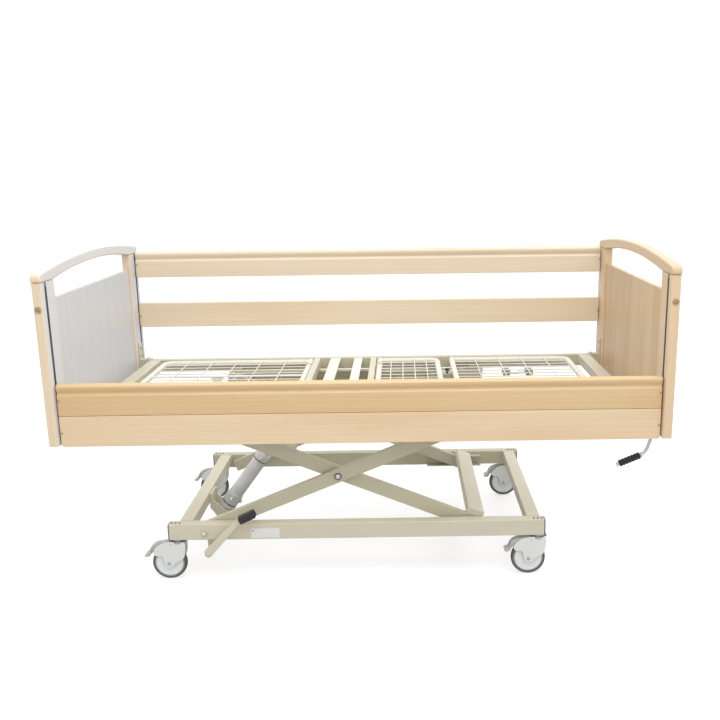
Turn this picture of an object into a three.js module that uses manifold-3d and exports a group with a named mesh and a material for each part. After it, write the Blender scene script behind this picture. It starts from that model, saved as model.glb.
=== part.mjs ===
// Adjustable hospital bed, millimetres, +Z up.
// +X runs to the foot end, -Y is the near long side, the origin is on the floor under the middle.
import * as THREE from 'three';
import { mergeVertices } from 'three/addons/utils/BufferGeometryUtils.js';
import Module from 'manifold-3d';

const wasm = await Module();
wasm.setup();

// ---------------------------------------------------------------- driving sizes
const GAP = 0.4; // clearance left between pieces that touch
const TUBE_WALL = 2.5;

const WHEEL_R = 63;
const STEM_X = { head: -685, foot: 633 };
const STEM_Y = 385;
const TRAIL = 35; // wheel centre behind the swivel axis

const BASE_X = [-711, 653];
const BASE_Y = [365, 405];
const BASE_Z = [155, 215];

const ARM_HALF = 528; // pivot to centre pivot
const ARM_RISE = 198; // centre pivot above the lower pivots at rest
const ARM_TILT = Math.asin(ARM_RISE / ARM_HALF);
const PIVOT_X = -584;
const PIVOT_LOW_Z = 180;
const PIVOT_TOP_Z = PIVOT_LOW_Z + 2 * ARM_RISE;
const ROLLER_X = PIVOT_X + 2 * ARM_HALF * Math.cos(ARM_TILT);
const CROSS_X = PIVOT_X + ARM_HALF * Math.cos(ARM_TILT);
const CROSS_Z = PIVOT_LOW_Z + ARM_RISE;
const ARM_END = 30; // arm length past its end pivots
const ARM_H = 50;
const ARM_WALL = 3;
const ARM_A_Y = [340, 362];
const ARM_B_Y = [312, 334];
const ROLLER_R = 17;
const AXLE_R = 7;
const TRACK_SLOT = 35.2;

const LIFT_X = [-620, 500];
const LIFT_Y = [366, 396];
const LIFT_Z = [552.4, 597.6];

const BED_HALF = 1030; // inner face of the end boards
const SIDE_Y = [430, 460];
const SIDE_Z = [592, 642];
const BAR_Z = [598, 642];
const SECTION_Y = 407; // centre of the section side tubes
const SECTION_Z = 630;
const SECTION_R = 12;
const BACK_X = [-905, -262];
const THIGH_X = [45, 299];
const LEG_X = [364, 875];
const KNEE_X = 331.5;

const BOARD_T = 32;
const POST_Y = [405, 515];
const POST_Z = [554, 1113.6];
const GUIDE_Y = [473.3, 488.7];
const GUIDE_DEPTH = 13;
const PANEL_Z = [575, 1050];

const RAIL_Y = [473, 498];
const RAIL_HALF = 1026;
const LOWER_RAIL_H = 108;
const UPPER_RAIL_H = 112;
const RAIL_DOWN_Z = { lower: 548, upper: 656.8 };
const RAIL_LIFT = { lower: 237, upper: 351 };

const PUMP_Y = -50;
const PUMP_PIVOT = [-587, 124];
const ROD_LENGTH = 291; // from the rod eye into the barrel
const LIFT_LUG = 252; // cylinder head, from the centre pivot along the inner arm
const LEVER_PIVOT = [-566, 116];
const CRANK = { x: 1040, y: -370, z: 528 };

// ---------------------------------------------------------------- colours
const LOOK = {
  paint: [0xc6c0a6, 0.45, 0.3],
  wood: [0xe0c49a, 0.5, 0.0],
  board: [0xd2b48c, 0.45, 0.0],
  housing: [0xd4d7d6, 0.5, 0.0],
  wheel: [0xb9bdbd, 0.55, 0.0],
  steel: [0xa9abac, 0.35, 0.9],
  black: [0x1f1f20, 0.75, 0.0],
};

// ---------------------------------------------------------------- solids
function solid(geometry) {
  const bare = geometry.clone();
  bare.deleteAttribute('normal');
  bare.deleteAttribute('uv');
  const merged = mergeVertices(bare, 1e-4);
  return new wasm.Manifold(new wasm.Mesh({
    numProp: 3,
    vertProperties: new Float32Array(merged.attributes.position.array),
    triVerts: new Uint32Array(merged.index.array),
  }));
}

function union(list) {
  return list.reduce((total, item) => total.add(item));
}

function cut(body, list) {
  return list.reduce((total, item) => total.subtract(item), body);
}

const AXES = {
  X: [[0, 1, 0], [0, 0, 1], [1, 0, 0]], // outline in y,z
  Y: [[-1, 0, 0], [0, 0, 1], [0, 1, 0]], // outline in -x,z
  Z: [[1, 0, 0], [0, 1, 0], [0, 0, 1]], // outline in x,y
};

// Outline points are given as y,z for X, as x,z for Y and as x,y for Z.
function prism(axis, from, to, outline, holes = []) {
  const flip = axis === 'Y' ? -1 : 1;
  const toVectors = (points) => {
    const vectors = points.map(([u, v]) => new THREE.Vector2(flip * u, v));
    return THREE.ShapeUtils.isClockWise(vectors) ? vectors.reverse() : vectors;
  };
  const shape = new THREE.Shape(toVectors(outline));
  for (const hole of holes) {
    shape.holes.push(new THREE.Path(toVectors(hole)));
  }
  const geometry = new THREE.ExtrudeGeometry(shape, { depth: to - from, bevelEnabled: false });
  const basis = AXES[axis].map((v) => new THREE.Vector3(...v));
  geometry.translate(0, 0, from);
  geometry.applyMatrix4(new THREE.Matrix4().makeBasis(...basis));
  return solid(geometry);
}

function box([x0, x1], [y0, y1], [z0, z1]) {
  return prism('Z', z0, z1, [[x0, y0], [x1, y0], [x1, y1], [x0, y1]]);
}

function ring(cx, cy, radius, sides) {
  const points = [];
  for (let i = 0; i < sides; i += 1) {
    const angle = (2 * Math.PI * (i + 0.5)) / sides;
    points.push([cx + radius * Math.cos(angle), cy + radius * Math.sin(angle)]);
  }
  return points;
}

function rod(axis, from, to, [cu, cv], radius, sides = 16) {
  return prism(axis, from, to, ring(cu, cv, radius, sides));
}

// Rectangle with cut corners, centred on cu,cv.
function rect(cu, cv, width, height, corner = 0) {
  const w = width / 2;
  const h = height / 2;
  if (corner === 0) {
    return [[cu - w, cv - h], [cu + w, cv - h], [cu + w, cv + h], [cu - w, cv + h]];
  }
  const c = corner;
  return [
    [cu - w + c, cv - h], [cu + w - c, cv - h], [cu + w, cv - h + c], [cu + w, cv + h - c],
    [cu + w - c, cv + h], [cu - w + c, cv + h], [cu - w, cv + h - c], [cu - w, cv - h + c],
  ];
}

// Open-ended rectangular tube along one axis.
function tube(axis, from, to, [u0, u1], [v0, v1], wall = TUBE_WALL) {
  const cu = (u0 + u1) / 2;
  const cv = (v0 + v1) / 2;
  const outer = rect(cu, cv, u1 - u0, v1 - v0, 1.8);
  const inner = rect(cu, cv, u1 - u0 - 2 * wall, v1 - v0 - 2 * wall);
  return prism(axis, from, to, outer, [inner]);
}

// A range of |y| as a real y range on one side: side -1 is near, +1 is far.
function onSide(side, [a, b]) {
  return side < 0 ? [-b, -a] : [a, b];
}

function turned(geometrySolid, matrix) {
  const mesh = geometrySolid.getMesh();
  const geometry = new THREE.BufferGeometry();
  geometry.setAttribute('position', new THREE.BufferAttribute(Float32Array.from(mesh.vertProperties), 3));
  geometry.setIndex(new THREE.BufferAttribute(Uint32Array.from(mesh.triVerts), 1));
  geometry.applyMatrix4(matrix);
  return solid(geometry);
}

// Tilt about Y so that local +X points at `angle` above the floor, then move to x,z.
function tilted(body, angle, x, z) {
  const matrix = new THREE.Matrix4().makeRotationY(-angle);
  matrix.setPosition(x, 0, z);
  return turned(body, matrix);
}

// Round bar along points that all lie in one plane; `normal` is perpendicular to that plane.
function bentRod(points, normal, radius, sides) {
  const last = points.length - 1;
  const vertices = [];
  const triangles = [];
  points.forEach((point, i) => {
    const before = point.clone().sub(points[Math.max(i - 1, 0)]).normalize();
    const after = points[Math.min(i + 1, last)].clone().sub(point).normalize();
    const along = before.clone().add(after).normalize();
    const stretch = i === 0 || i === last ? 1 : 1 / along.dot(after);
    const sideways = normal.clone().cross(along).multiplyScalar(stretch);
    for (let k = 0; k < sides; k += 1) {
      const angle = (2 * Math.PI * (k + 0.5)) / sides;
      const offset = sideways.clone().multiplyScalar(radius * Math.cos(angle));
      vertices.push(point.clone().add(offset).addScaledVector(normal, radius * Math.sin(angle)));
    }
  });
  vertices.push(points[0], points[last]);
  const startCentre = vertices.length - 2;
  const endCentre = vertices.length - 1;
  for (let k = 0; k < sides; k += 1) {
    const next = (k + 1) % sides;
    for (let i = 0; i < last; i += 1) {
      const a = i * sides + k;
      const b = i * sides + next;
      triangles.push(a, b, b + sides, a, b + sides, a + sides);
    }
    triangles.push(startCentre, next, k, endCentre, last * sides + k, last * sides + next);
  }
  return new wasm.Manifold(new wasm.Mesh({
    numProp: 3,
    vertProperties: new Float32Array(vertices.flatMap((v) => [v.x, v.y, v.z])),
    triVerts: new Uint32Array(triangles),
  }));
}

// Points of a rounded corner from `start` to `end`, bulging toward `corner`.
function roundCorner(start, corner, end, steps) {
  return new THREE.QuadraticBezierCurve3(start, corner, end).getPoints(steps);
}

// ---------------------------------------------------------------- assembly
const group = new THREE.Group();
group.name = 'adjustable_bed';

function place(name, look, body) {
  const [color, roughness, metalness] = LOOK[look];
  const data = body.getMesh();
  const geometry = new THREE.BufferGeometry();
  geometry.setAttribute('position', new THREE.BufferAttribute(Float32Array.from(data.vertProperties), 3));
  geometry.setIndex(new THREE.BufferAttribute(Uint32Array.from(data.triVerts), 1));
  geometry.computeVertexNormals();
  const mesh = new THREE.Mesh(geometry, new THREE.MeshStandardMaterial({ color, roughness, metalness }));
  mesh.name = name;
  group.add(mesh);
}

const SIDES = [['near', -1], ['far', 1]];
const ENDS = [['head', -1], ['foot', 1]];

// ---------------------------------------------------------------- base frame
for (const [side, s] of SIDES) {
  const [y0, y1] = onSide(s, BASE_Y);
  let rail = tube('X', BASE_X[0], BASE_X[1], [y0, y1], BASE_Z);
  rail = cut(rail, [rod('Y', y0 - 1, y1 + 1, [PIVOT_X, PIVOT_LOW_Z], 8.4, 20)]);
  // Open channel on the inner face in which the lower rollers run.
  const [c0, c1] = onSide(s, [337, 366]);
  const channel = box([250, 490], [c0, c1], [PIVOT_LOW_Z - 23, PIVOT_LOW_Z + 23]);
  const half = TRACK_SLOT / 2;
  const slotY = onSide(s, [330, 361]);
  const slot = box([249, 491], slotY, [PIVOT_LOW_Z - half, PIVOT_LOW_Z + half]);
  rail = union([rail, channel.subtract(slot)]);
  if (s < 0) {
    // Hanging lug that carries the pump lever shaft.
    const [lx, lz] = LEVER_PIVOT;
    const lug = prism('Y', -372, -365.5, [[lx - 16, 156], [lx - 14, 110], [lx - 6, 104], [lx + 6, 104],
      [lx + 14, 110], [lx + 16, 156]]);
    rail = union([rail, cut(lug, [rod('Y', -380, -360, [lx, lz], 7.4, 20)])]);
  }
  place(`base_rail_${side}`, 'paint', rail);
}
const BASE_CROSS_Y = BASE_Y[0] - GAP;
place('base_cross_head', 'paint', tube('Y', -BASE_CROSS_Y, BASE_CROSS_Y, [-680, -632], [170, 215]));
place('base_cross_foot', 'paint', tube('Y', -BASE_CROSS_Y, BASE_CROSS_Y, [594, 642], [170, 215]));

// Clevis that hangs from the head cross bar and carries the pump cylinder.
{
  const [px, pz] = PUMP_PIVOT;
  const outline = [[-631.6, 208], [-631.6, 150], [px - 18, 112], [px - 6, 103], [px + 8, 102],
    [px + 32, 100], [px + 38, 112], [px + 36, 122], [px + 14, 140], [px - 6, 158],
    [-618, 180], [-618, 208]];
  const plates = [PUMP_Y - 40.5, PUMP_Y + 32.5].map((y) => prism('Y', y, y + 8, outline));
  const web = box([-631.6, -622], [PUMP_Y - 33, PUMP_Y + 33], [162, 208]);
  const pin = rod('Y', PUMP_Y - 33, PUMP_Y + 33, [px, pz], 8, 20);
  const shaftHole = rod('Y', PUMP_Y - 45, PUMP_Y - 30, LEVER_PIVOT, 7.4, 20);
  place('pump_bracket', 'paint', cut(union([...plates, web, pin]), [shaftHole]));
}

// ---------------------------------------------------------------- casters
function caster(end, side, s) {
  const x = STEM_X[end];
  const y = s * STEM_Y;
  const wx = x - TRAIL;
  const pivotX = x - 27;
  const pivotZ = 139;
  const cheek = [[x + 27, 131], [x + 27, 143], [pivotX - 9, 147], [x - 52, 138], [wx - 40, 118],
    [wx - 22, 96], [wx - 15, 63], [wx - 11, 52], [wx, 47], [wx + 11, 52], [wx + 16, 63],
    [x + 2, 98], [x + 22, 118]];
  const cheeks = [-20, 14].map((dy) => prism('Y', y + dy, y + dy + 6, cheek));
  const crown = box([x - 15, x + 27], [y - 20, y + 20], [129, 143]);
  const plate = rod('Z', 142, BASE_Z[0] - GAP, [x, y], 20, 24);
  const axle = rod('Y', y - 22, y + 22, [wx, WHEEL_R], 5, 16);
  const pin = rod('Y', y - 18, y + 18, [pivotX, pivotZ], 3, 12);
  place(`caster_fork_${end}_${side}`, 'housing', union([...cheeks, crown, plate, axle, pin]));

  const profile = [[5.4, -12], [15, -12], [18, -9], [48, -11], [60, -11], [WHEEL_R, -7],
    [WHEEL_R, 7], [60, 11], [48, 11], [18, 9], [15, 12], [5.4, 12], [5.4, -12]];
  const lathe = new THREE.LatheGeometry(profile.map(([r, h]) => new THREE.Vector2(r, h)), 30);
  lathe.translate(0, y, 0);
  const wheel = new THREE.Matrix4().makeTranslation(wx, 0, WHEEL_R);
  place(`caster_wheel_${end}_${side}`, 'wheel', turned(solid(lathe), wheel));

  const hook = [[x - 85, 124], [x - 103, 105], [x - 118, 98], [x - 118, 91], [x - 101, 97], [x - 83, 116]];
  const lever = [[pivotX + 7, 136], [pivotX + 4, 145.5], [pivotX - 4, 146], [x - 55, 137], ...hook,
    [x - 55, 130], [pivotX - 4, 133.5]];
  let pedal = prism('Y', y - 13, y + 13, lever);
  const paddle = prism('Y', y - 19, y + 19, [[x - 78, 127.2], ...hook, [x - 78, 118.6]]);
  pedal = cut(union([pedal, paddle]), [rod('Y', y - 30, y + 30, [pivotX, pivotZ], 3.4, 12)]);
  place(`caster_pedal_${end}_${side}`, 'wheel', pedal);
}
for (const [end] of ENDS) {
  for (const [side, s] of SIDES) {
    caster(end, side, s);
  }
}

// ---------------------------------------------------------------- scissor lift
// Arms are drawn along local +X with their first pivot at the origin.
function armBar(s, yRange) {
  const [y0, y1] = onSide(s, yRange);
  const inner = rect(0, 0, y1 - y0 - 2 * ARM_WALL, ARM_H - 2 * ARM_WALL);
  const middle = (y0 + y1) / 2;
  return prism('X', -ARM_END, 2 * ARM_HALF + ARM_END, rect(middle, 0, y1 - y0, ARM_H, 1.8),
    [inner.map(([u, v]) => [u + middle, v])]);
}

function pinAt(s, x, [a, b], radius) {
  const [y0, y1] = onSide(s, [a, b]);
  return rod('Y', y0, y1, [x, 0], radius, 16);
}

for (const [side, s] of SIDES) {
  // Outer arm: low pivot at the head end, roller at the top.
  const outer = union([
    armBar(s, ARM_A_Y),
    pinAt(s, 0, [ARM_A_Y[0] - 3, 407], 8),
    pinAt(s, 0, [ARM_A_Y[1] - 1, 364.4], 15),
    pinAt(s, 0, [405.5, 410], 12),
    pinAt(s, ARM_HALF, [307, 367], 9),
    pinAt(s, ARM_HALF, [334.5, 341], 15),
    pinAt(s, ARM_HALF, [361, 367], 14),
    pinAt(s, ARM_HALF, [306, 311.4], 14),
  ]);
  const outerArm = cut(outer, [pinAt(s, 2 * ARM_HALF, [330, 370], AXLE_R + 0.5)]);
  place(`arm_outer_${side}`, 'paint', tilted(outerArm, ARM_TILT, PIVOT_X, PIVOT_LOW_Z));

  // Inner arm: top pivot at the head end, roller at the bottom.
  const innerArm = cut(armBar(s, ARM_B_Y), [
    pinAt(s, 0, [305, 340], 8.4),
    pinAt(s, ARM_HALF, [305, 340], 9.4),
    pinAt(s, 2 * ARM_HALF, [305, 340], AXLE_R + 0.5),
  ]);
  place(`arm_inner_${side}`, 'paint', tilted(innerArm, -ARM_TILT, PIVOT_X, PIVOT_TOP_Z));
}

// Flat cross tube welded on top of the inner arms at their roller end.
{
  const start = 2 * ARM_HALF - 34;
  const rise = ARM_H / 2 + GAP;
  const local = tube('Y', -333, 333, [start, start + 64], [rise, rise + 26]);
  place('arm_inner_cross', 'paint', tilted(local, -ARM_TILT, PIVOT_X, PIVOT_TOP_Z));
}

// Round tube between the inner arms with two lugs that take the cylinder head.
{
  const lug = ARM_HALF - LIFT_LUG;
  const bar = lug + 56;
  const half = ARM_B_Y[0] - GAP;
  const ringTube = prism('Y', -half, half, ring(bar, 0, 21, 24), [ring(bar, 0, 18, 24)]);
  const outline = [[bar - 10, -16], [bar - 10, 18], [lug + 10, 36], [lug - 18, 38], [lug - 38, 26],
    [lug - 42, 2], [lug - 30, -20], [lug - 8, -28], [lug + 14, -26]];
  const plates = [PUMP_Y - 28, PUMP_Y + 20].map((y) => prism('Y', y, y + 8, outline));
  place('lift_tube', 'paint', tilted(union([ringTube, ...plates]), -ARM_TILT, PIVOT_X, PIVOT_TOP_Z));
}

function rollerSet(name, z, [a, b]) {
  const rollers = [-1, 1].map((s) => {
    const [y0, y1] = onSide(s, [a, b]);
    return rod('Y', y0, y1, [ROLLER_X, z], ROLLER_R, 28);
  });
  const axle = rod('Y', -b + 1, b - 1, [ROLLER_X, z], AXLE_R, 16);
  place(name, 'steel', union([axle, ...rollers]));
}
rollerSet('roller_axle_upper', PIVOT_TOP_Z, [367, 391]);
rollerSet('roller_axle_lower', PIVOT_LOW_Z, [338.5, 360.4]);

// ---------------------------------------------------------------- hydraulic cylinder
{
  const [px, pz] = PUMP_PIVOT;
  const along = ARM_HALF - LIFT_LUG;
  const headX = PIVOT_X + along * Math.cos(ARM_TILT);
  const headZ = PIVOT_TOP_Z - along * Math.sin(ARM_TILT);
  const length = Math.hypot(headX - px, headZ - pz);
  const angle = Math.atan2(headZ - pz, headX - px);
  const y = PUMP_Y;
  const moveY = (body) => turned(body, new THREE.Matrix4().makeTranslation(0, y, 0));

  const eye = rod('Y', -20, 20, [0, 0], 15, 24);
  const neck = box([0, 26], [-20, 20], [-13, 13]);
  const collar = rod('X', 24, 88, [0, 0], 31, 32);
  const barrel = rod('X', 87, 295, [0, 0], 25, 32);
  const bore = rod('X', 41, 296, [0, 0], 13, 24);
  const pinHole = rod('Y', -21, 21, [0, 0], 8.4, 20);
  const cylinder = cut(union([eye, neck, collar, barrel]), [bore, pinHole]);
  place('pump_cylinder', 'steel', tilted(moveY(cylinder), angle, px, pz));

  const shaft = rod('X', length - ROD_LENGTH, length - 8, [0, 0], 12.5, 24);
  const head = rod('Y', -15, 15, [length, 0], 15, 24);
  const headHole = rod('Y', -16, 16, [length, 0], 7, 16);
  place('pump_rod', 'steel', tilted(moveY(union([shaft, head]).subtract(headHole)), angle, px, pz));
}

// ---------------------------------------------------------------- pump lever
{
  const [x, z] = LEVER_PIVOT;
  const gripAngle = (25 * Math.PI) / 180;
  const gripX = -419;
  const gripZ = 256;
  const strip = prism('Y', -440, -430, [[x - 13, z - 6], [x - 6, z - 13], [x + 4, z - 14], [x + 14, z - 6],
    [-444.5, 232.6], [-453.3, 251.4], [x - 13, z + 10]]);
  const tang = rect(-8, 0, 78, 20, 2);
  const end = prism('Y', -440, -430, tang);
  const shaft = rod('Y', -431, PUMP_Y - 32.9, [x, z], AXLE_R, 16);
  place('pump_lever', 'paint', union([strip, tilted(end, gripAngle, gripX, gripZ), shaft]));

  const sleeve = prism('Y', -453, -417, rect(0, 0, 62, 28, 5));
  const slot = box([-32, 32], [-440.4, -429.6], [-10.4, 10.4]);
  place('pump_grip', 'black', tilted(sleeve.subtract(slot), gripAngle, gripX, gripZ));
}

// ---------------------------------------------------------------- bed frame
for (const [side, s] of SIDES) {
  const sideY = onSide(s, SIDE_Y);
  place(`bed_side_${side}`, 'paint', tube('X', -BED_HALF + GAP, BED_HALF - GAP, sideY, SIDE_Z));

  // Lengthwise channel over the scissor: roller track, top pivot and two outriggers.
  const [y0, y1] = onSide(s, LIFT_Y);
  const half = TRACK_SLOT / 2;
  const [g0, g1] = onSide(s, [LIFT_Y[0] - 1, LIFT_Y[1] - 4]);
  let rail = box(LIFT_X, [y0, y1], LIFT_Z);
  const slotZ = [PIVOT_TOP_Z - half, PIVOT_TOP_Z + half];
  rail = rail.subtract(box([LIFT_X[0] - 1, LIFT_X[1] + 1], [g0, g1], slotZ));
  const faceY = onSide(s, [337.5, 345.5]);
  const webY = onSide(s, [338, LIFT_Y[1] - 3]);
  const armY = onSide(s, [LIFT_Y[1] - 1, SIDE_Y[0] - GAP]);
  const parts = [
    rail,
    box([-616, -552], faceY, [546, LIFT_Z[1]]),
    box([-616, -608], webY, [546, LIFT_Z[1]]),
    box([-560, -552], webY, [546, LIFT_Z[1]]),
    rod('Y', ...onSide(s, [308, 340]), [PIVOT_X, PIVOT_TOP_Z], 8, 20),
    rod('Y', ...onSide(s, [306, 311.4]), [PIVOT_X, PIVOT_TOP_Z], 13, 20),
    rod('Y', ...onSide(s, [334.6, 338]), [PIVOT_X, PIVOT_TOP_Z], 14, 20),
    box([-600, -568], armY, [572, 612]),
    box([440, 472], armY, [572, 612]),
  ];
  place(`lift_rail_${side}`, 'paint', union(parts));
}

const BAR_Y = SIDE_Y[0] - GAP;
place('bed_end_head', 'paint', tube('Y', -BAR_Y, BAR_Y, [-985, -935], [602, 642]));

// Foot cross bar with the hanging crank bearing.
{
  const { x, y, z } = CRANK;
  const bar = tube('Y', -BAR_Y, BAR_Y, [935, 985], [602, 642]);
  const hanger = box([940, 950], [y - 15, y + 15], [z - 5, 603]);
  const bearing = rod('X', 900, x - 20, [y, z], 11, 20);
  const clevisBlock = box([x - 24, x - 12], [y - 12, y + 12], [z - 11, z + 11]);
  const cheeks = [y - 12, y + 7].map((v) => prism('Y', v, v + 5, [[x - 14, z - 11], [x + 4, z - 11],
    [x + 10, z - 5], [x + 10, z + 5], [x + 4, z + 11], [x - 14, z + 11]]));
  const pin = rod('Y', y - 8, y + 8, [x, z], 4, 12);
  place('bed_end_foot', 'paint', union([bar, hanger, bearing, clevisBlock, ...cheeks, pin]));
}

// Cross bars with split bearings for the hinge tubes of the moving sections.
function hingeBar(name, [x0, x1], tubeX) {
  const bar = tube('Y', -BAR_Y, BAR_Y, [x0, x1], BAR_Z);
  const toward = Math.sign(tubeX - (x0 + x1) / 2);
  const face = toward > 0 ? x1 : x0;
  const parts = [bar];
  for (const y of [-325, 0, 325]) {
    const link = [face - toward, tubeX].sort((a, b) => a - b);
    const clip = union([
      rod('Y', y - 12, y + 12, [tubeX, SECTION_Z], 15.5, 16),
      box(link, [y - 12, y + 12], [SECTION_Z - 9, SECTION_Z + 7]),
    ]);
    parts.push(clip.subtract(rod('Y', y - 13, y + 13, [tubeX, SECTION_Z], SECTION_R + 0.6, 16)));
  }
  place(name, 'paint', union(parts));
}
hingeBar('bed_cross_back', [-247, -221], BACK_X[1]);
hingeBar('bed_cross_thigh', [3, 29], THIGH_X[0]);
place('seat_slat_a', 'paint', box([-175, -131], [-BAR_Y, BAR_Y], [634, 641.6]));
place('seat_slat_b', 'paint', box([-69, -33], [-BAR_Y, BAR_Y], [634, 641.6]));

// ---------------------------------------------------------------- moving sections
const WIRE = 4.4;
const LENGTHWISE_WIRES = 14;
const CORNER = 42;

// Closed loop of round tube with welded wire mesh, square at its hinge and rounded at its free end.
function sectionFrame([x0, x1], hingeAtHigh, crossCount) {
  const xHinge = hingeAtHigh ? x1 : x0;
  const xFree = hingeAtHigh ? x0 : x1;
  const inward = Math.sign(xHinge - xFree);
  const at = (x, y) => new THREE.Vector3(x, y, SECTION_Z);
  const sideTubeEnd = xFree + inward * CORNER;
  const nearCorner = roundCorner(at(sideTubeEnd, -SECTION_Y), at(xFree, -SECTION_Y),
    at(xFree, -SECTION_Y + CORNER), 4);
  const farCorner = roundCorner(at(xFree, SECTION_Y - CORNER), at(xFree, SECTION_Y),
    at(sideTubeEnd, SECTION_Y), 4);
  const path = [at(xHinge, -SECTION_Y), ...nearCorner, ...farCorner, at(xHinge, SECTION_Y)];
  const loop = bentRod(path, new THREE.Vector3(0, 0, 1), SECTION_R, 12);
  const hinge = rod('Y', -SECTION_Y - SECTION_R, SECTION_Y + SECTION_R, [xHinge, SECTION_Z], SECTION_R, 16);
  const parts = [loop, hinge];
  const lengthwiseZ = [SECTION_Z + 1.4, SECTION_Z + 1.4 + WIRE];
  for (let i = 0; i < LENGTHWISE_WIRES; i += 1) {
    const y = -SECTION_Y + ((i + 1) * 2 * SECTION_Y) / (LENGTHWISE_WIRES + 1);
    parts.push(box([x0, x1], [y - WIRE / 2, y + WIRE / 2], lengthwiseZ));
  }
  const crossZ = [SECTION_Z + 5.2, SECTION_Z + 5.2 + WIRE];
  for (let i = 0; i < crossCount; i += 1) {
    const x = x0 + ((i + 1) * (x1 - x0)) / (crossCount + 1);
    parts.push(box([x - WIRE / 2, x + WIRE / 2], [-SECTION_Y, SECTION_Y], crossZ));
  }
  return parts;
}

// Outline of an ear from a section's end tube to the knee pin.
function kneeEar(tubeX, toward) {
  const [low, high] = [SECTION_Z - 9, SECTION_Z + 9];
  return [[tubeX, low], [KNEE_X + 4 * toward, low], [KNEE_X + 9 * toward, low + 5],
    [KNEE_X + 9 * toward, high - 5], [KNEE_X + 4 * toward, high], [tubeX, high]];
}

place('section_back', 'paint', union(sectionFrame(BACK_X, true, 5)));

{
  const parts = sectionFrame(THIGH_X, false, 4);
  for (const s of [-1, 1]) {
    parts.push(prism('Y', ...onSide(s, [171, 177]), kneeEar(THIGH_X[1], 1)));
    parts.push(rod('Y', ...onSide(s, [175, 189]), [KNEE_X, SECTION_Z], 5, 16));
    parts.push(rod('Y', ...onSide(s, [184.6, 189]), [KNEE_X, SECTION_Z], 8, 16));
  }
  place('section_thigh', 'paint', union(parts));
}

{
  const parts = sectionFrame(LEG_X, false, 4);
  const holes = [];
  for (const s of [-1, 1]) {
    parts.push(prism('Y', ...onSide(s, [177.6, 184]), kneeEar(LEG_X[0], -1)));
    holes.push(rod('Y', ...onSide(s, [176, 186]), [KNEE_X, SECTION_Z], 5.4, 16));
  }
  place('section_leg', 'paint', cut(union(parts), holes));
}

// ---------------------------------------------------------------- crank
{
  const { x, y, z } = CRANK;
  const at = (px, pz) => new THREE.Vector3(px, y, pz);
  const bend = roundCorner(at(x - 3, z - 58), at(x - 5, z - 70), at(x - 30, z - 78), 5);
  const path = [at(x, z - 5), ...bend, at(x - 121, z - 116)];
  const shaft = bentRod(path, new THREE.Vector3(0, 1, 0), 6, 12);
  const eye = rod('Y', y - 6, y + 6, [x, z], 9, 20);
  const slope = Math.atan2(-38, -91);
  const stop = tilted(rod('X', 0, 3, [y, 0], 9, 16), slope, x - 121, z - 116);
  const ringStop = tilted(rod('X', 0, 4, [y, 0], 9, 16), slope, x - 36, z - 80.5);
  const pinHole = rod('Y', y - 7, y + 7, [x, z], 4.4, 12);
  place('crank_handle', 'steel', union([shaft, eye, stop, ringStop]).subtract(pinHole));

  const grip = prism('X', 0, 82, ring(y, 0, 12, 20), [ring(y, 0, 6.5, 16)]);
  place('crank_grip', 'black', tilted(grip, slope, x - 41.5, z - 82.8));
}

// ---------------------------------------------------------------- end boards
// Arch of the cap: height over the bottom line at a distance from the middle.
const capTop = (y) => 1179 - (37 * y * y) / (515 * 515);
const capUnder = (y) => 1143 - (29 * y * y) / (405 * 405);

for (const [end, e] of ENDS) {
  const innerX = e * BED_HALF;
  const outerX = e * (BED_HALF + BOARD_T);
  const spanX = [Math.min(innerX, outerX), Math.max(innerX, outerX)];
  for (const [side, s] of SIDES) {
    const [y0, y1] = onSide(s, POST_Y);
    const section = rect((spanX[0] + spanX[1]) / 2, (y0 + y1) / 2, BOARD_T, y1 - y0, 3);
    let post = prism('Z', POST_Z[0], POST_Z[1], section);
    const guideX = e > 0 ? [innerX - 1, innerX + GUIDE_DEPTH] : [innerX - GUIDE_DEPTH, innerX + 1];
    const buttonX = e * (BED_HALF + 17);
    post = cut(post, [
      box(guideX, onSide(s, GUIDE_Y), [POST_Z[0] - 1, 1100]),
      rod('Y', ...onSide(s, [494, 516]), [buttonX, 1026], 7.5, 20),
    ]);
    place(`post_${end}_${side}`, 'board', post);
    place(`release_${end}_${side}`, 'steel', rod('Y', ...onSide(s, [500, 517.5]), [buttonX, 1026], 7, 20));
  }

  const steps = 16;
  const outline = [];
  for (let i = 0; i <= steps; i += 1) {
    const y = -507 + (i * 1014) / steps;
    outline.push([y, capTop(y)]);
  }
  outline.push([515, 1137], [519, 1128], [519, 1119], [516, 1114], [405, 1114]);
  for (let i = 1; i < steps; i += 1) {
    const y = 405 - (i * 810) / steps;
    outline.push([y, capUnder(y)]);
  }
  outline.push([-405, 1114], [-516, 1114], [-519, 1119], [-519, 1128], [-515, 1137]);
  place(`cap_${end}`, 'board', prism('X', spanX[0] - 1.5, spanX[1] + 1.5, outline.reverse()));

  // Panel of upright boards with a groove along each joint.
  const inner = e > 0 ? 1 : -1;
  const faceX = innerX + inner * 8;
  const backX = innerX + inner * 24;
  const half = POST_Y[0] - GAP;
  const boards = 8;
  const front = [[faceX, -half]];
  const back = [[backX, -half]];
  for (let i = 1; i < boards; i += 1) {
    const y = -half + (2 * half * i) / boards;
    front.push([faceX, y - 2.5], [faceX + inner * 2, y], [faceX, y + 2.5]);
    back.push([backX, y - 2.5], [backX - inner * 2, y], [backX, y + 2.5]);
  }
  front.push([faceX, half]);
  back.push([backX, half]);
  place(`panel_${end}`, 'board', prism('Z', PANEL_Z[0], PANEL_Z[1], [...front, ...back.reverse()]));
}

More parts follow.
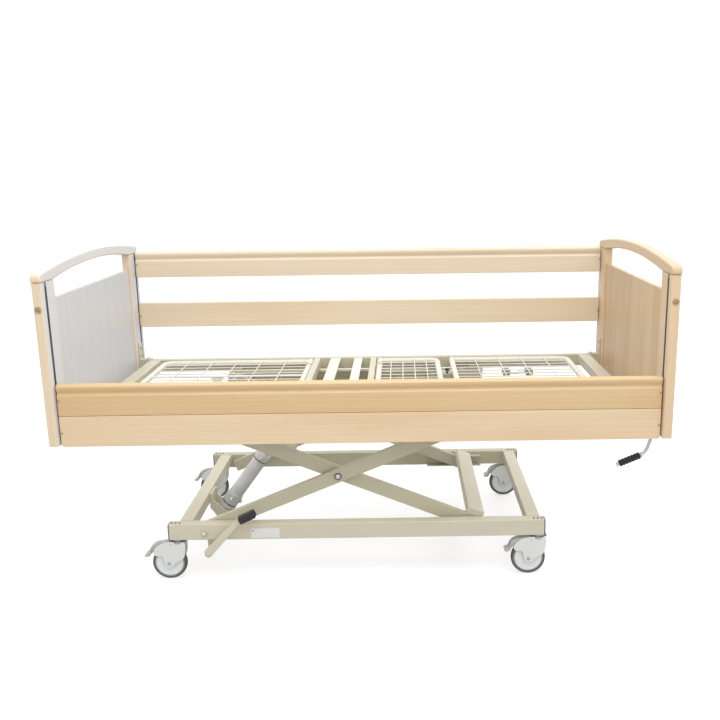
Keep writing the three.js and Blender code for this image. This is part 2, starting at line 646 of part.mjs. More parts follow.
// ---------------------------------------------------------------- side rails
function sideRail(side, s, level) {
  const lift = side === 'far' ? RAIL_LIFT[level] : 0;
  const z = RAIL_DOWN_Z[level] + lift;
  const middle = (RAIL_Y[0] + RAIL_Y[1]) / 2;
  const half = (RAIL_Y[1] - RAIL_Y[0]) / 2;
  let outline;
  if (level === 'lower') {
    outline = rect(s * middle, z + LOWER_RAIL_H / 2, 2 * half, LOWER_RAIL_H, 2.5);
  } else {
    const rightSide = [[half - 2.5, 0], [half, 2.5], [half, 66], [half - 2, 69], [half - 1.5, 76],
      [half - 3, 84], [half - 1, 92], [half + 1.5, 96], [half + 1.5, 102], [half - 2, 109],
      [half - 7, UPPER_RAIL_H]];
    const full = [...rightSide, ...rightSide.map(([u, v]) => [-u, v]).reverse()];
    outline = full.map(([u, v]) => [s * middle + u, z + v]);
  }
  const board = prism('X', -RAIL_HALF, RAIL_HALF, outline);
  const tongueZ = level === 'lower' ? [z + 14, z + 64] : [z + 20, z + 70];
  const tongueY = onSide(s, [GUIDE_Y[0] + 0.7, GUIDE_Y[1] - 0.7]);
  const tongue = box([-BED_HALF - 8, BED_HALF + 8], tongueY, tongueZ);
  place(`siderail_${level}_${side}`, 'wood', union([board, tongue]));
}
for (const [side, s] of SIDES) {
  sideRail(side, s, 'lower');
  sideRail(side, s, 'upper');
}

export default group;
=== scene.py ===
import math
import random

import bmesh
import bpy
from mathutils import Matrix, Vector


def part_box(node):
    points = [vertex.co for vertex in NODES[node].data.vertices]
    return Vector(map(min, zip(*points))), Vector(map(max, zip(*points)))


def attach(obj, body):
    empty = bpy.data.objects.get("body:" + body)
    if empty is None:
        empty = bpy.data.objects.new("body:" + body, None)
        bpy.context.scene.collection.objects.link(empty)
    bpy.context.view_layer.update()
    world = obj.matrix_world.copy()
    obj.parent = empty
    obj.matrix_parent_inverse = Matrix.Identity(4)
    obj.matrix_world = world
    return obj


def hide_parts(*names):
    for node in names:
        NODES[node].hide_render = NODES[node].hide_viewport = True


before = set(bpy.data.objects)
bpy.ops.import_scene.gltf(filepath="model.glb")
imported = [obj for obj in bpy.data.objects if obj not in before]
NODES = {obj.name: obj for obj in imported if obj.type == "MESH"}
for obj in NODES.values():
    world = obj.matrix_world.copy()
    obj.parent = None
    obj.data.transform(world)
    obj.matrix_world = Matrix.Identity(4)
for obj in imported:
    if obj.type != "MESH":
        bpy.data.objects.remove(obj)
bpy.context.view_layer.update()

# Adjustable hospital bed. Metres, +Z up, -Y is the near long side, +X the foot end.
SIDES = (("near", -1), ("far", 1))
ENDS = (("head", -1), ("foot", 1))
AXIS = {"X": 0, "Y": 1, "Z": 2}

# ---- driving sizes
TUBE_R = 0.012
WIRE_R = 0.0022
SECTION_Y = 0.407
SECTION_Z = 0.63
THIGH_END = 0.299
LEG_START = 0.364
KNEE_X = 0.3315
LENGTHWISE_WIRES = 14
STEM_X = {"head": -0.685, "foot": 0.633}
STEM_Y = 0.385
BOARD_INNER = 1.03
GROOVE = (0.4735, 0.4885)       # near and far wall of the post groove
RAIL_MIDDLE, RAIL_HALF = 0.4855, 0.0125
BRACKET_Y = 0.446
BASE_Z = 0.185
RATCHET_Y = 0.25
LABEL_X, LABEL_Z, LABEL_FACE = -0.362, 0.1785, -0.4056
PUMP_Y = -0.05
PUMP_PIVOT = Vector((-0.587, PUMP_Y, 0.124))
CROSS = Vector((-0.0945, 0.0, 0.378))
LIFT_LUG = 0.252
ARM_HALF = 0.528
ARM_TILT = math.asin(0.198 / ARM_HALF)
LEVER_PIVOT = (-0.566, 0.116)
GRIP_CENTRE = (-0.419, 0.256)
CRANK = Vector((1.04, -0.37, 0.528))
GRIP_HALF = 0.031


# ---- shells
# A shell is (vertices, faces) of one closed surface.
def spread(point, axis, along):
    """The 3-D point whose other two coordinates are `point`, at `along` on the axis."""
    p = list(point)
    p.insert(AXIS[axis], along)
    return Vector(p)


def prism(outline, axis, low, high):
    n = len(outline)
    verts = [spread(p, axis, low) for p in outline] + [spread(p, axis, high) for p in outline]
    faces = [list(range(n)), list(range(n, 2 * n))]
    faces += [[i, (i + 1) % n, n + (i + 1) % n, n + i] for i in range(n)]
    return verts, faces


def block(low, high):
    (x0, y0, z0), (x1, y1, z1) = low, high
    return prism([(x0, y0), (x1, y0), (x1, y1), (x0, y1)], "Z", z0, z1)


def lathe(profile, axis="Z", centre=(0, 0, 0), sides=32):
    """Profile of (radius, height) turned about the axis. It starts and ends on the axis or closes on itself."""
    verts, rings = [], []
    for radius, height in profile:
        if radius < 1e-7:
            rings.append([len(verts)] * sides)
            verts.append(spread((0, 0), axis, height))
            continue
        rings.append([len(verts) + k for k in range(sides)])
        for k in range(sides):
            a = 2 * math.pi * k / sides
            verts.append(spread((radius * math.cos(a), radius * math.sin(a)), axis, height))
    hollow = profile[0][0] > 1e-7
    faces = []
    for i in range(len(rings) if hollow else len(rings) - 1):
        low, high = rings[i], rings[(i + 1) % len(rings)]
        for k in range(sides):
            m = (k + 1) % sides
            quad = [low[k], low[m], high[m], high[k]]
            face = [v for j, v in enumerate(quad) if v not in quad[:j]]
            if len(face) > 2:
                faces.append(face)
    return [v + Vector(centre) for v in verts], faces


def pipe(points, radius, sides=12):
    """Round bar along points; radius is a number or one value for each point."""
    points = [Vector(p) for p in points]
    radii = radius if isinstance(radius, list) else [radius] * len(points)
    last = len(points) - 1
    verts, side = [], None
    for i, point in enumerate(points):
        along = (points[min(i + 1, last)] - points[max(i - 1, 0)]).normalized()
        if side is None:
            side = along.orthogonal()
        side = (side - along * side.dot(along)).normalized()
        other = along.cross(side)
        for k in range(sides):
            a = 2 * math.pi * k / sides
            verts.append(point + radii[i] * (side * math.cos(a) + other * math.sin(a)))
    faces = [[k for k in range(sides)], [last * sides + k for k in range(sides)]]
    for i in range(last):
        for k in range(sides):
            m = (k + 1) % sides
            faces.append([i * sides + k, i * sides + m, (i + 1) * sides + m, (i + 1) * sides + k])
    return verts, faces


def loft(sections):
    """Closed skin over outlines with the same number of points."""
    n = len(sections[0])
    verts = [Vector(p) for outline in sections for p in outline]
    faces = [list(range(n)), [(len(sections) - 1) * n + k for k in range(n)]]
    for i in range(len(sections) - 1):
        for k in range(n):
            m = (k + 1) % n
            faces.append([i * n + k, i * n + m, (i + 1) * n + m, (i + 1) * n + k])
    return verts, faces


def moved(shell, matrix):
    return [matrix @ Vector(v) for v in shell[0]], shell[1]


def turn_to(direction, place):
    """Matrix that carries local +Z to `direction` and the origin to `place`."""
    return Matrix.Translation(place) @ Vector(direction).to_track_quat("Z", "Y").to_matrix().to_4x4()


def rounded(shell, width, segments=2, angle=50):
    """The shell with its sharp edges rounded."""
    work = bmesh.new()
    made = [work.verts.new(v) for v in shell[0]]
    for face in shell[1]:
        work.faces.new([made[i] for i in face])
    bmesh.ops.recalc_face_normals(work, faces=work.faces)
    sharp = [e for e in work.edges if e.calc_face_angle(0) > math.radians(angle)]
    bmesh.ops.bevel(work, geom=sharp, offset=width, segments=segments, profile=0.5,
                    affect="EDGES", clamp_overlap=True)
    bmesh.ops.remove_doubles(work, verts=work.verts, dist=1e-6)
    work.verts.index_update()
    result = [v.co.copy() for v in work.verts], [[v.index for v in f.verts] for f in work.faces]
    work.free()
    return result


def slab(low, high, width, segments=2):
    """A block with rounded edges."""
    return rounded(block(low, high), width, segments)


def turned(profile, direction, place, sides=28):
    """A lathe that stands along `direction` from `place`."""
    return moved(lathe(profile, sides=sides), turn_to(direction, place))


def ring_profile(inner, outer, low, high, cut=0.001):
    """Profile of a ring with chamfered outer corners, or of a bar when `inner` is 0."""
    flat = outer - cut
    return [(inner, low), (flat, low), (outer, low + cut), (outer, high - cut), (flat, high), (inner, high)]


def sheet(outline, axis, low, high, width, segments=2, angle=50):
    """A prism with rounded edges."""
    return rounded(prism(outline, axis, low, high), width, segments, angle)


def piece(name, shells, material, body, replaces=(), crease=38):
    """One object from closed shells, shaded smooth below the crease angle, riding on a body."""
    work = bmesh.new()
    for verts, faces in shells:
        made = [work.verts.new(v) for v in verts]
        for face in faces:
            work.faces.new([made[i] for i in face])
    bmesh.ops.recalc_face_normals(work, faces=work.faces)
    mesh = bpy.data.meshes.new(name)
    work.to_mesh(mesh)
    work.free()
    mesh.shade_smooth()
    mesh.set_sharp_from_angle(angle=math.radians(crease))
    mesh.materials.append(material)
    obj = bpy.data.objects.new(name, mesh)
    bpy.context.scene.collection.objects.link(obj)
    weighted = obj.modifiers.new("even_shading", "WEIGHTED_NORMAL")
    weighted.keep_sharp = True
    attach(obj, body)
    if replaces:
        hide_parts(*replaces)


def dress(node, material, edge=0.001, segments=2):
    """A CAD node keeps its mesh and gets its material, with a small radius along its edges."""
    obj = NODES[node]
    obj.data.materials.clear()
    obj.data.materials.append(material)
    weld = obj.modifiers.new("weld", "WELD")
    weld.merge_threshold = 1e-5
    if edge:
        bevel = obj.modifiers.new("edge_radius", "BEVEL")
        bevel.width = edge
        bevel.segments = segments
        bevel.limit_method = "ANGLE"
        bevel.angle_limit = math.radians(40)
    weighted = obj.modifiers.new("even_shading", "WEIGHTED_NORMAL")
    weighted.keep_sharp = False


# ---- outlines
def arc(cx, cy, radius, start, end, steps):
    """Points of an arc, angles in degrees."""
    angles = [math.radians(start + (end - start) * i / steps) for i in range(steps + 1)]
    return [(cx + radius * math.cos(a), cy + radius * math.sin(a)) for a in angles]


def rounded_rect(cx, cy, width, height, radius, steps=4):
    w, h = width / 2 - radius, height / 2 - radius
    corners = ((w, h, 0), (-w, h, 90), (-w, -h, 180), (w, -h, 270))
    return [p for x, y, a in corners for p in arc(cx + x, cy + y, radius, a, a + 90, steps)]


def softened(outline, rounds=2):
    """The outline with its corners cut again and again into a smooth curve."""
    for _ in range(rounds):
        cut = []
        for i, p in enumerate(outline):
            q = outline[(i + 1) % len(outline)]
            cut.append((0.75 * p[0] + 0.25 * q[0], 0.75 * p[1] + 0.25 * q[1]))
            cut.append((0.25 * p[0] + 0.75 * q[0], 0.25 * p[1] + 0.75 * q[1]))
        outline = cut
    return outline


def mm(*points):
    """Points given in millimetres."""
    return [(a / 1000, b / 1000) for a, b in points]


def filleted(points, radius, steps=6):
    """A path with each inner corner replaced by a curve."""
    points = [Vector(p) for p in points]
    path = [points[0]]
    for before, corner, after in zip(points, points[1:], points[2:]):
        start = corner + (before - corner).normalized() * radius
        end = corner + (after - corner).normalized() * radius
        for i in range(steps + 1):
            t = i / steps
            path.append(start * (1 - t) ** 2 + corner * 2 * t * (1 - t) + end * t * t)
    return path + [points[-1]]


# ---- shader helpers
def node(tree, kind, inputs=None, **settings):
    made = tree.nodes.new("ShaderNode" + kind)
    for key, value in settings.items():
        setattr(made, key, value)
    for key, value in (inputs or {}).items():
        if isinstance(value, bpy.types.NodeSocket):
            tree.links.new(value, made.inputs[key])
        else:
            made.inputs[key].default_value = value
    return made


def coordinates(tree, scale=(1, 1, 1), offset=(0, 0, 0)):
    source = node(tree, "TexCoord").outputs["Object"]
    return node(tree, "Mapping", {"Vector": source, "Scale": scale, "Location": offset}).outputs[0]


def noise(tree, vector, scale=1.0, detail=2.0, roughness=0.5):
    inputs = {"Vector": vector, "Scale": scale, "Detail": detail, "Roughness": roughness}
    return node(tree, "TexNoise", inputs).outputs["Fac"]


def remap(tree, value, low, high, to_low=0.0, to_high=1.0):
    inputs = {"Value": value, "From Min": low, "From Max": high, "To Min": to_low, "To Max": to_high}
    return node(tree, "MapRange", inputs, clamp=True).outputs[0]


def maths(tree, operation, a, b):
    return node(tree, "Math", {0: a, 1: b}, operation=operation).outputs[0]


def times(tree, a, b):
    return maths(tree, "MULTIPLY", a, b)


def vector_maths(tree, operation, a, b):
    return node(tree, "VectorMath", {0: a, 1: b}, operation=operation).outputs[0]


def mixed(tree, factor, a, b, blend="MIX"):
    made = node(tree, "Mix", {0: factor, 6: a, 7: b}, data_type="RGBA", blend_type=blend)
    return made.outputs[2]


def shaded(colour, factor):
    return tuple(min(1.0, c * factor) for c in colour[:3]) + (1.0,)


def start(name):
    material = bpy.data.materials.new(name)
    material.use_nodes = True
    tree = material.node_tree
    return material, tree, tree.nodes["Principled BSDF"]


def edge_mask(tree, radius):
    """1 along sharp edges, 0 on flat faces."""
    soft = node(tree, "Bevel", {"Radius": radius}, samples=4).outputs[0]
    true = node(tree, "NewGeometry").outputs["Normal"]
    dot = node(tree, "VectorMath", {0: soft, 1: true}, operation="DOT_PRODUCT").outputs["Value"]
    return remap(tree, dot, 0.97, 0.8)


def surface(name, colour, roughness, mottle, grain, microns, metallic=0.0, brushed=(1, 1, 1), coat=0.0,
            wear=None):
    """A finish with mottled colour, uneven gloss, a texture `microns` deep and worn edges."""
    material, tree, shader = start(name)
    plain = coordinates(tree)
    stretched = coordinates(tree, brushed)
    broad = noise(tree, plain, 7.0, 4.0, 0.6)
    fine = noise(tree, stretched, grain, 3.0, 0.55)
    blotch = maths(tree, "ADD", times(tree, broad, 0.65), times(tree, fine, 0.35))
    base = mixed(tree, remap(tree, blotch, 0.35, 0.65), shaded(colour, 1 - mottle), shaded(colour, 1 + mottle))
    if wear:
        base = mixed(tree, times(tree, edge_mask(tree, 0.0016), wear[1]), base, shaded(wear[0], 1))
    tree.links.new(base, shader.inputs["Base Color"])
    gloss = remap(tree, blotch, 0.3, 0.7, roughness - 0.06, roughness + 0.08)
    tree.links.new(gloss, shader.inputs["Roughness"])
    bump = node(tree, "Bump", {"Height": fine, "Distance": microns * 1e-6, "Strength": 1.0})
    tree.links.new(bump.outputs[0], shader.inputs["Normal"])
    shader.inputs["Metallic"].default_value = metallic
    shader.inputs["Coat Weight"].default_value = coat
    shader.inputs["Coat Roughness"].default_value = 0.2
    return material


# Middle and half range of the summed wood figure.
FIGURE_MEAN, FIGURE_SPREAD = 0.705, 0.26


def wood(name, along, pale, deep, seed, contrast=1.0, board=None, painted_glare=None):
    """Beech: wandering growth rings, streaks, fine pores and short ray flecks, along one axis.
    `board` is (axis, width) where upright boards change their figure.
    The last argument greys the faces that look to +X or up, as a painted reflection of bright light on them."""
    material, tree, shader = start(name)
    index = AXIS[along]

    def scale(lengthwise, across):
        values = [across] * 3
        values[index] = lengthwise
        return tuple(values)

    shift = [0.37 * seed, 0.21 * seed, 0.13 * seed]
    shift[(index + 1) % 3] += 0.07
    shift[(index + 2) % 3] += 0.11
    grain = coordinates(tree, offset=tuple(shift))
    if board:
        axis, width = board
        parts = node(tree, "SeparateXYZ", {0: node(tree, "TexCoord").outputs["Object"]})
        number = maths(tree, "FLOOR", maths(tree, "DIVIDE", parts.outputs[AXIS[axis]], width), 0.0)
        jump = times(tree, number, 0.731)
        step = node(tree, "CombineXYZ", {0: jump, 1: jump, 2: jump}).outputs[0]
        grain = vector_maths(tree, "ADD", grain, step)

    def sampled(lengthwise, across, detail, roughness=0.55):
        stretched = vector_maths(tree, "MULTIPLY", grain, scale(lengthwise, across))
        return noise(tree, stretched, 1.0, detail, roughness)

    stretched = vector_maths(tree, "MULTIPLY", grain, scale(1.1, 5.0))
    wander = node(tree, "TexNoise", {"Vector": stretched, "Scale": 1.0, "Detail": 2.0}).outputs["Color"]
    centred = vector_maths(tree, "SUBTRACT", wander, (0.5, 0.5, 0.5))
    drift = node(tree, "VectorMath", {0: centred, "Scale": 0.075}, operation="SCALE").outputs[0]
    bent = vector_maths(tree, "ADD", grain, drift)
    waves = {"Vector": bent, "Scale": 26.0, "Distortion": 1.6, "Detail": 2.0, "Detail Scale": 1.5}
    rings = node(tree, "TexWave", waves, wave_type="RINGS", rings_direction=along, wave_profile="SAW")
    rings = rings.outputs["Fac"]
    streaks = sampled(1.6, 110.0, 4.0)
    pores = sampled(22.0, 900.0, 3.0, 0.6)
    patches = sampled(1.3, 6.0, 3.0)
    flecks = remap(tree, sampled(190.0, 1100.0, 2.0), 0.66, 0.74)
    figure = times(tree, rings, 0.16)
    for layer, weight in ((streaks, 0.55), (pores, 0.25), (patches, 0.45)):
        figure = maths(tree, "ADD", figure, times(tree, layer, weight))
    low, high = FIGURE_MEAN - FIGURE_SPREAD / contrast, FIGURE_MEAN + FIGURE_SPREAD / contrast
    colour = mixed(tree, remap(tree, figure, low, high), pale + (1.0,), deep + (1.0,))
    warm = shaded((deep[0] * 1.06, deep[1] * 0.97, deep[2] * 0.92), 1)
    colour = mixed(tree, remap(tree, patches, 0.45, 0.7, 0.0, 0.35), colour, warm)
    colour = mixed(tree, times(tree, flecks, 0.3), colour, shaded(deep, 0.62))
    if board:
        tone = node(tree, "TexWhiteNoise", {"W": number}, noise_dimensions="1D").outputs["Value"]
        colour = mixed(tree, remap(tree, tone, 0.0, 1.0, 0.0, 0.45), colour, shaded(deep, 0.95))
    # Painted reflection: faces toward +X and up fade to a grey glare tone, streaked by the figure.
    if painted_glare:
        normal = node(tree, "SeparateXYZ", {0: node(tree, "TexCoord").outputs["Normal"]})
        facing = maths(tree, "ADD", normal.outputs[0], times(tree, normal.outputs[2], 0.8))
        glare_washed = mixed(tree, 0.2, shaded(painted_glare, 1), colour)
        glare_streaked = mixed(tree, remap(tree, figure, low, high, 0.0, 0.35), glare_washed, shaded(painted_glare, 0.88))
        colour = mixed(tree, remap(tree, facing, 0.55, 0.9), colour, glare_streaked)
    worn = mixed(tree, times(tree, edge_mask(tree, 0.002), 0.35), colour, shaded(pale, 1.08))
    tree.links.new(worn, shader.inputs["Base Color"])
    tree.links.new(remap(tree, figure, 0.3, 1.0, 0.38, 0.54), shader.inputs["Roughness"])
    height = maths(tree, "SUBTRACT", pores, times(tree, flecks, 0.4))
    bump = node(tree, "Bump", {"Height": height, "Distance": 0.00012, "Strength": 0.6})
    tree.links.new(bump.outputs[0], shader.inputs["Normal"])
    shader.inputs["Coat Weight"].default_value = 0.25
    shader.inputs["Coat Roughness"].default_value = 0.22
    return material


# ---- finishes
# The near upper rail is darker, painted shade under its hand rail, and the far rails paler, painted light:
# copies of one beech.
RAIL_LOWER = wood("beech_rail_lower", "X", (0.83, 0.66, 0.45), (0.72, 0.53, 0.33), 3)
RAIL_UPPER_SHADED = wood("beech_rail_upper_painted_shade", "X", (0.75, 0.545, 0.305), (0.64, 0.435, 0.22), 5)
RAIL_FAR_LOWER_LIT = wood("beech_rail_far_lower_painted_light", "X", (0.8, 0.69, 0.52), (0.72, 0.58, 0.41), 7)
RAIL_FAR_UPPER_LIT = wood("beech_rail_far_upper_painted_light", "X", (0.8, 0.69, 0.53), (0.72, 0.59, 0.43), 9)
# Grey tone of the painted reflection on the head board's faces toward +X and up.
GLARE_GREY = (0.68, 0.71, 0.75)
# Head board wood is paler, painted light, and foot board wood darker, painted shade: lit and shaded copies of
# one beech.
POST = {"head": wood("beech_post_head_painted_light", "Z", (0.82, 0.68, 0.48), (0.72, 0.54, 0.36), 11, painted_glare=GLARE_GREY),
        "foot": wood("beech_post_foot_painted_shade", "Z", (0.79, 0.6, 0.39), (0.68, 0.49, 0.3), 13)}
CAP = {"head": wood("beech_cap_head_painted_light", "Y", (0.82, 0.66, 0.47), (0.74, 0.56, 0.38), 15,
                    painted_glare=(0.66, 0.68, 0.71)),
       "foot": wood("beech_cap_foot_painted_shade", "Y", (0.7, 0.54, 0.36), (0.62, 0.45, 0.28), 17)}
PANEL_BOARD = 0.10115
PANEL = {"head": wood("beech_panel_head_painted_light", "Z", (0.78, 0.62, 0.44), (0.68, 0.5, 0.33), 19,
                      board=("Y", PANEL_BOARD), painted_glare=(0.62, 0.66, 0.71)),
         "foot": wood("beech_panel_foot_painted_shade", "Z", (0.72, 0.54, 0.34), (0.6, 0.43, 0.255), 21, contrast=1.3,
                      board=("Y", PANEL_BOARD))}
PAINT = surface("cream_powder_coat", (0.63, 0.585, 0.455), 0.46, 0.035, 1400, 60,
                coat=0.1, wear=((0.78, 0.75, 0.66), 0.5))
# Paler copy of the cream coat: painted light on the deck meshes, spot welds and slats on top.
PAINT_LIT = surface("cream_powder_coat_painted_light", (0.76, 0.745, 0.665), 0.44, 0.03, 1400, 50,
                     coat=0.1, wear=((0.84, 0.82, 0.76), 0.5))
# Darker copy of the cream coat: painted shade on the far and under-bed parts.
PAINT_SHADED = surface("cream_powder_coat_painted_shade", (0.54, 0.5, 0.365), 0.48, 0.04, 1400, 60,
                      coat=0.08, wear=((0.7, 0.67, 0.56), 0.5))
ZINC = surface("zinc_plate", (0.62, 0.62, 0.6), 0.36, 0.12, 260, 30, metallic=0.9,
               wear=((0.85, 0.85, 0.84), 0.4))
CHROME = surface("chrome_plate", (0.66, 0.67, 0.68), 0.2, 0.05, 1500, 10, metallic=1.0)
BARREL = surface("ground_steel", (0.6, 0.605, 0.595), 0.4, 0.16, 60, 50, metallic=0.25,
                 brushed=(1, 1, 14), wear=((0.75, 0.75, 0.74), 0.5))
CASTER = surface("light_grey_nylon", (0.74, 0.75, 0.74), 0.42, 0.03, 1800, 30,
                 wear=((0.86, 0.87, 0.86), 0.4))
DISC = surface("pale_grey_disc", (0.8, 0.815, 0.81), 0.45, 0.03, 1500, 30)
PEDAL = surface("mid_grey_nylon", (0.46, 0.47, 0.45), 0.45, 0.06, 1500, 40,
                wear=((0.66, 0.67, 0.65), 0.6))
TYRE = surface("grey_tyre", (0.1, 0.1, 0.105), 0.72, 0.22, 700, 100,
               wear=((0.2, 0.2, 0.2), 0.5))
BAND = surface("grey_tyre_band", (0.3, 0.305, 0.31), 0.6, 0.16, 700, 80)
RUBBER = surface("black_rubber", (0.022, 0.021, 0.02), 0.55, 0.25, 1100, 80,
                 wear=((0.07, 0.07, 0.07), 0.6))
BLACK = surface("black_plastic", (0.03, 0.031, 0.033), 0.42, 0.15, 1600, 30)
PLUG = surface("dark_grey_plastic", (0.12, 0.12, 0.115), 0.55, 0.12, 1300, 50)
# Dark slate: the gliders' own colour, and painted shade on the groove liners.
SLATE_AND_GROOVE_SHADE = surface("slate_plastic_and_groove_shade", (0.15, 0.165, 0.19), 0.4, 0.15, 1300, 30)
# Pale copy of the liner: painted light in the foot's far groove.
LINER_PAINTED_LIGHT = surface("pale_liner_painted_light", (0.74, 0.745, 0.74), 0.4, 0.04, 1300, 30)
BRASS = surface("dull_brass", (0.42, 0.3, 0.17), 0.42, 0.15, 500, 30, metallic=0.55)
ROSETTE = surface("tan_rosette", (0.52, 0.35, 0.22), 0.45, 0.12, 900, 40)
CREAM_STEEL = surface("bright_pin_cap", (0.74, 0.73, 0.68), 0.32, 0.06, 700, 20, metallic=0.2)
FILM = surface("blank_label_film", (0.77, 0.765, 0.735), 0.34, 0.03, 1200, 20, coat=0.3)
# Dark taupe: painted shade under the deck, on the knee tray and ratchet brackets.
TAUPE_PAINTED_SHADE = surface("taupe_channel_painted_shade", (0.3, 0.27, 0.2), 0.5, 0.1, 1200, 50,
                    wear=((0.5, 0.47, 0.38), 0.5))


# ---- fasteners
def bolt_head(place, direction, across=0.013, height=0.006):
    """Washer and chamfered hexagon head, standing along `direction` from `place`."""
    r = across / math.sqrt(3)
    washer = lathe([(0, 0), (r * 1.35, 0), (r * 1.45, 0.0005), (r * 1.35, 0.0013), (0, 0.0013)], sides=24)
    head = loft([[(q * math.cos(a), q * math.sin(a), z) for a in [math.pi * k / 3 for k in range(6)]]
                 for q, z in ((r, 0.001), (r, height * 0.85), (r * 0.86, height))])
    return [moved(s, turn_to(direction, place)) for s in (washer, head)]


def dome(place, direction, radius, height):
    """Domed cap of a pin."""
    profile = [(0, 0), (radius, 0), (radius, height * 0.35)]
    profile += [(radius * math.cos(a), height * (0.35 + 0.65 * math.sin(a)))
                for a in [math.radians(15 * i) for i in range(1, 6)]]
    return turned(profile + [(0, height)], direction, place)


def screw(place, direction, radius):
    """Countersunk cross-head screw, flush with the face."""
    head = lathe([(0, -0.001), (radius, -0.001), (radius, 0.0004), (radius * 0.8, 0.0009),
                   (radius * 0.45, 0.0004), (0, 0.0002)], sides=20)
    return moved(head, turn_to(direction, place))


def weld_bead(points, radius, seed):
    """Rippled fillet weld along a line."""
    rng = random.Random(seed)
    points = [Vector(p) for p in points]
    path, radii = [], []
    for a, b in zip(points, points[1:]):
        steps = max(3, int((b - a).length / 0.0035))
        for i in range(steps + (b == points[-1])):
            path.append(a.lerp(b, i / steps))
            radii.append(radius * (0.82 + 0.22 * (i % 2) + 0.1 * rng.random()))
    radii[0] = radii[-1] = radius * 0.4
    return pipe(path, radii, 8)


# ---- end boards
def cap_top(y):
    return 1.179 - 0.037 * (y / 0.515) ** 2


def cap_under(y):
    return 1.143 - 0.029 * (y / 0.405) ** 2


def end_boards():
    for end, e in ENDS:
        inner, outer = e * (BOARD_INNER - 0.0015), e * (BOARD_INNER + 0.0335)
        steps = 40
        top = [(y, cap_top(y)) for y in [-0.505 + 1.01 * i / steps for i in range(steps + 1)]]
        under = [(y, cap_under(y)) for y in [0.395 - 0.79 * i / steps for i in range(steps + 1)]]
        right = mm((513, 1140), (517.5, 1133.5), (519, 1126), (518.5, 1119), (516, 1114))
        left = [(-y, z) for y, z in reversed(right)]
        outline = top + right + [(0.405, 1.114)] + under + [(-0.405, 1.114)] + left
        cap = sheet(outline, "X", min(inner, outer), max(inner, outer), 0.0055, 4, 40)
        piece(f"board_cap_{end}", [cap], CAP[end], "bed", [f"cap_{end}"])
        dress(f"panel_{end}", PANEL[end], 0.0006, 1)
        for side, s in SIDES:
            dress(f"post_{end}_{side}", POST[end], 0.0012)
            guide_liner(end, e, side, s)
            release_button(end, side, s)
            board_bracket(end, e, side, s)


def guide_liner(end, e, side, s):
    """Thin channel in the post groove in which the rail gliders run. Its dark slate is painted shade in the
    groove; the foot's far one is pale, painted light.
    """
    y0, y1 = GROOVE
    wall, depth = 0.0008, 0.0124
    mouth = e * (BOARD_INNER - 0.0006)
    floor = e * (BOARD_INNER + depth)
    outline = [(mouth, y0), (floor, y0), (floor, y1), (mouth, y1), (mouth, y1 - wall),
               (floor - e * wall, y1 - wall), (floor - e * wall, y0 + wall), (mouth, y0 + wall)]
    outline = [(x, s * y) for x, y in outline]
    # The foot's far liner is pale, painted light; the others are dark, painted shade.
    finish = LINER_PAINTED_LIGHT if (end, side) == ("foot", "far") else SLATE_AND_GROOVE_SHADE
    shells = [prism(outline, "Z", 0.556, 1.0995)]
    x0, x1 = sorted((e * BOARD_INNER, e * (BOARD_INNER - 0.0007)))
    y0, y1 = sorted((s * y0, s * y1))
    shells.append(block((x0, y0, 1.0995), (x1, y1, 1.113)))
    piece(f"guide_liner_{end}_{side}", shells, finish, "bed")


def release_button(end, side, s):
    low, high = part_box(f"release_{end}_{side}")
    centre = (low + high) / 2
    face = s * 0.515
    ring = mm((7.8, 0), (12.5, 0), (12.5, 1.2), (11.2, 2.6), (8.8, 3), (7.8, 2.2))
    place = Vector((centre.x, face, centre.z))
    piece(f"button_ring_{end}_{side}", [turned(ring, (0, s, 0), place, 36)],
          ROSETTE, "bed")
    stem = mm((0, -15), (6.8, -15), (6.8, 1.2), (6, 2), (3.5, 2.6), (0, 2.8))
    piece(f"release_button_{end}_{side}", [turned(stem, (0, s, 0), place, 32)],
          BRASS, f"button_{end}_{side}", [f"release_{end}_{side}"])


def board_bracket(end, e, side, s):
    """Steel angle that hangs the end board on the side tube, with its two bolts."""
    x0, x1 = sorted((e * (BOARD_INNER - 0.0055), e * (BOARD_INNER - 0.0008)))
    plate = sheet(rounded_rect(s * BRACKET_Y, 0.652, 0.041, 0.136, 0.008), "X", x0, x1, 0.0008, 1)
    x0, x1 = sorted((e * 0.978, e * (BOARD_INNER - 0.0052)))
    flange = slab((x0, s * 0.445 - 0.0145, 0.6424), (x1, s * 0.445 + 0.0145, 0.6464), 0.0008, 1)
    piece(f"board_bracket_{end}_{side}", [plate, flange], PAINT, "bed")
    bolts = []
    for z in (0.664, 0.7):
        bolts += bolt_head((e * (BOARD_INNER - 0.0056), s * BRACKET_Y, z), (-e, 0, 0), 0.013, 0.005)
    bolts += bolt_head((e * 0.992, s * 0.445, 0.6464), (0, 0, 1), 0.013, 0.005)
    piece(f"board_bolts_{end}_{side}", bolts, ZINC, "bed")


# ---- side rails
def upper_outline(middle, half, z0):
    """Moulded section: plain face, bright shoulder, hollow, then a rounded hand rail."""
    right = [(half - 0.003, 0.0), (half - 0.0009, 0.0009), (half, 0.003)]
    right += [(half, 0.07), (half - 0.0004, 0.0708), (half - 0.0038, 0.0752), (half - 0.0048, 0.0775)]
    right += [(half - 0.005, 0.0805), (half - 0.0042, 0.0835), (half - 0.0022, 0.0866), (half - 0.0004, 0.0898)]
    right += [(half + 0.0008, 0.0935), (half + 0.0014, 0.0975)]
    right += arc(half - 0.006, 0.1005, 0.0078, -10, 90, 8)
    right += [(half - 0.0085, 0.1112), (half - 0.0105, 0.1118)]
    left = [(-u, v) for u, v in reversed(right)]
    return [(middle + u, z0 + v) for u, v in right + left]


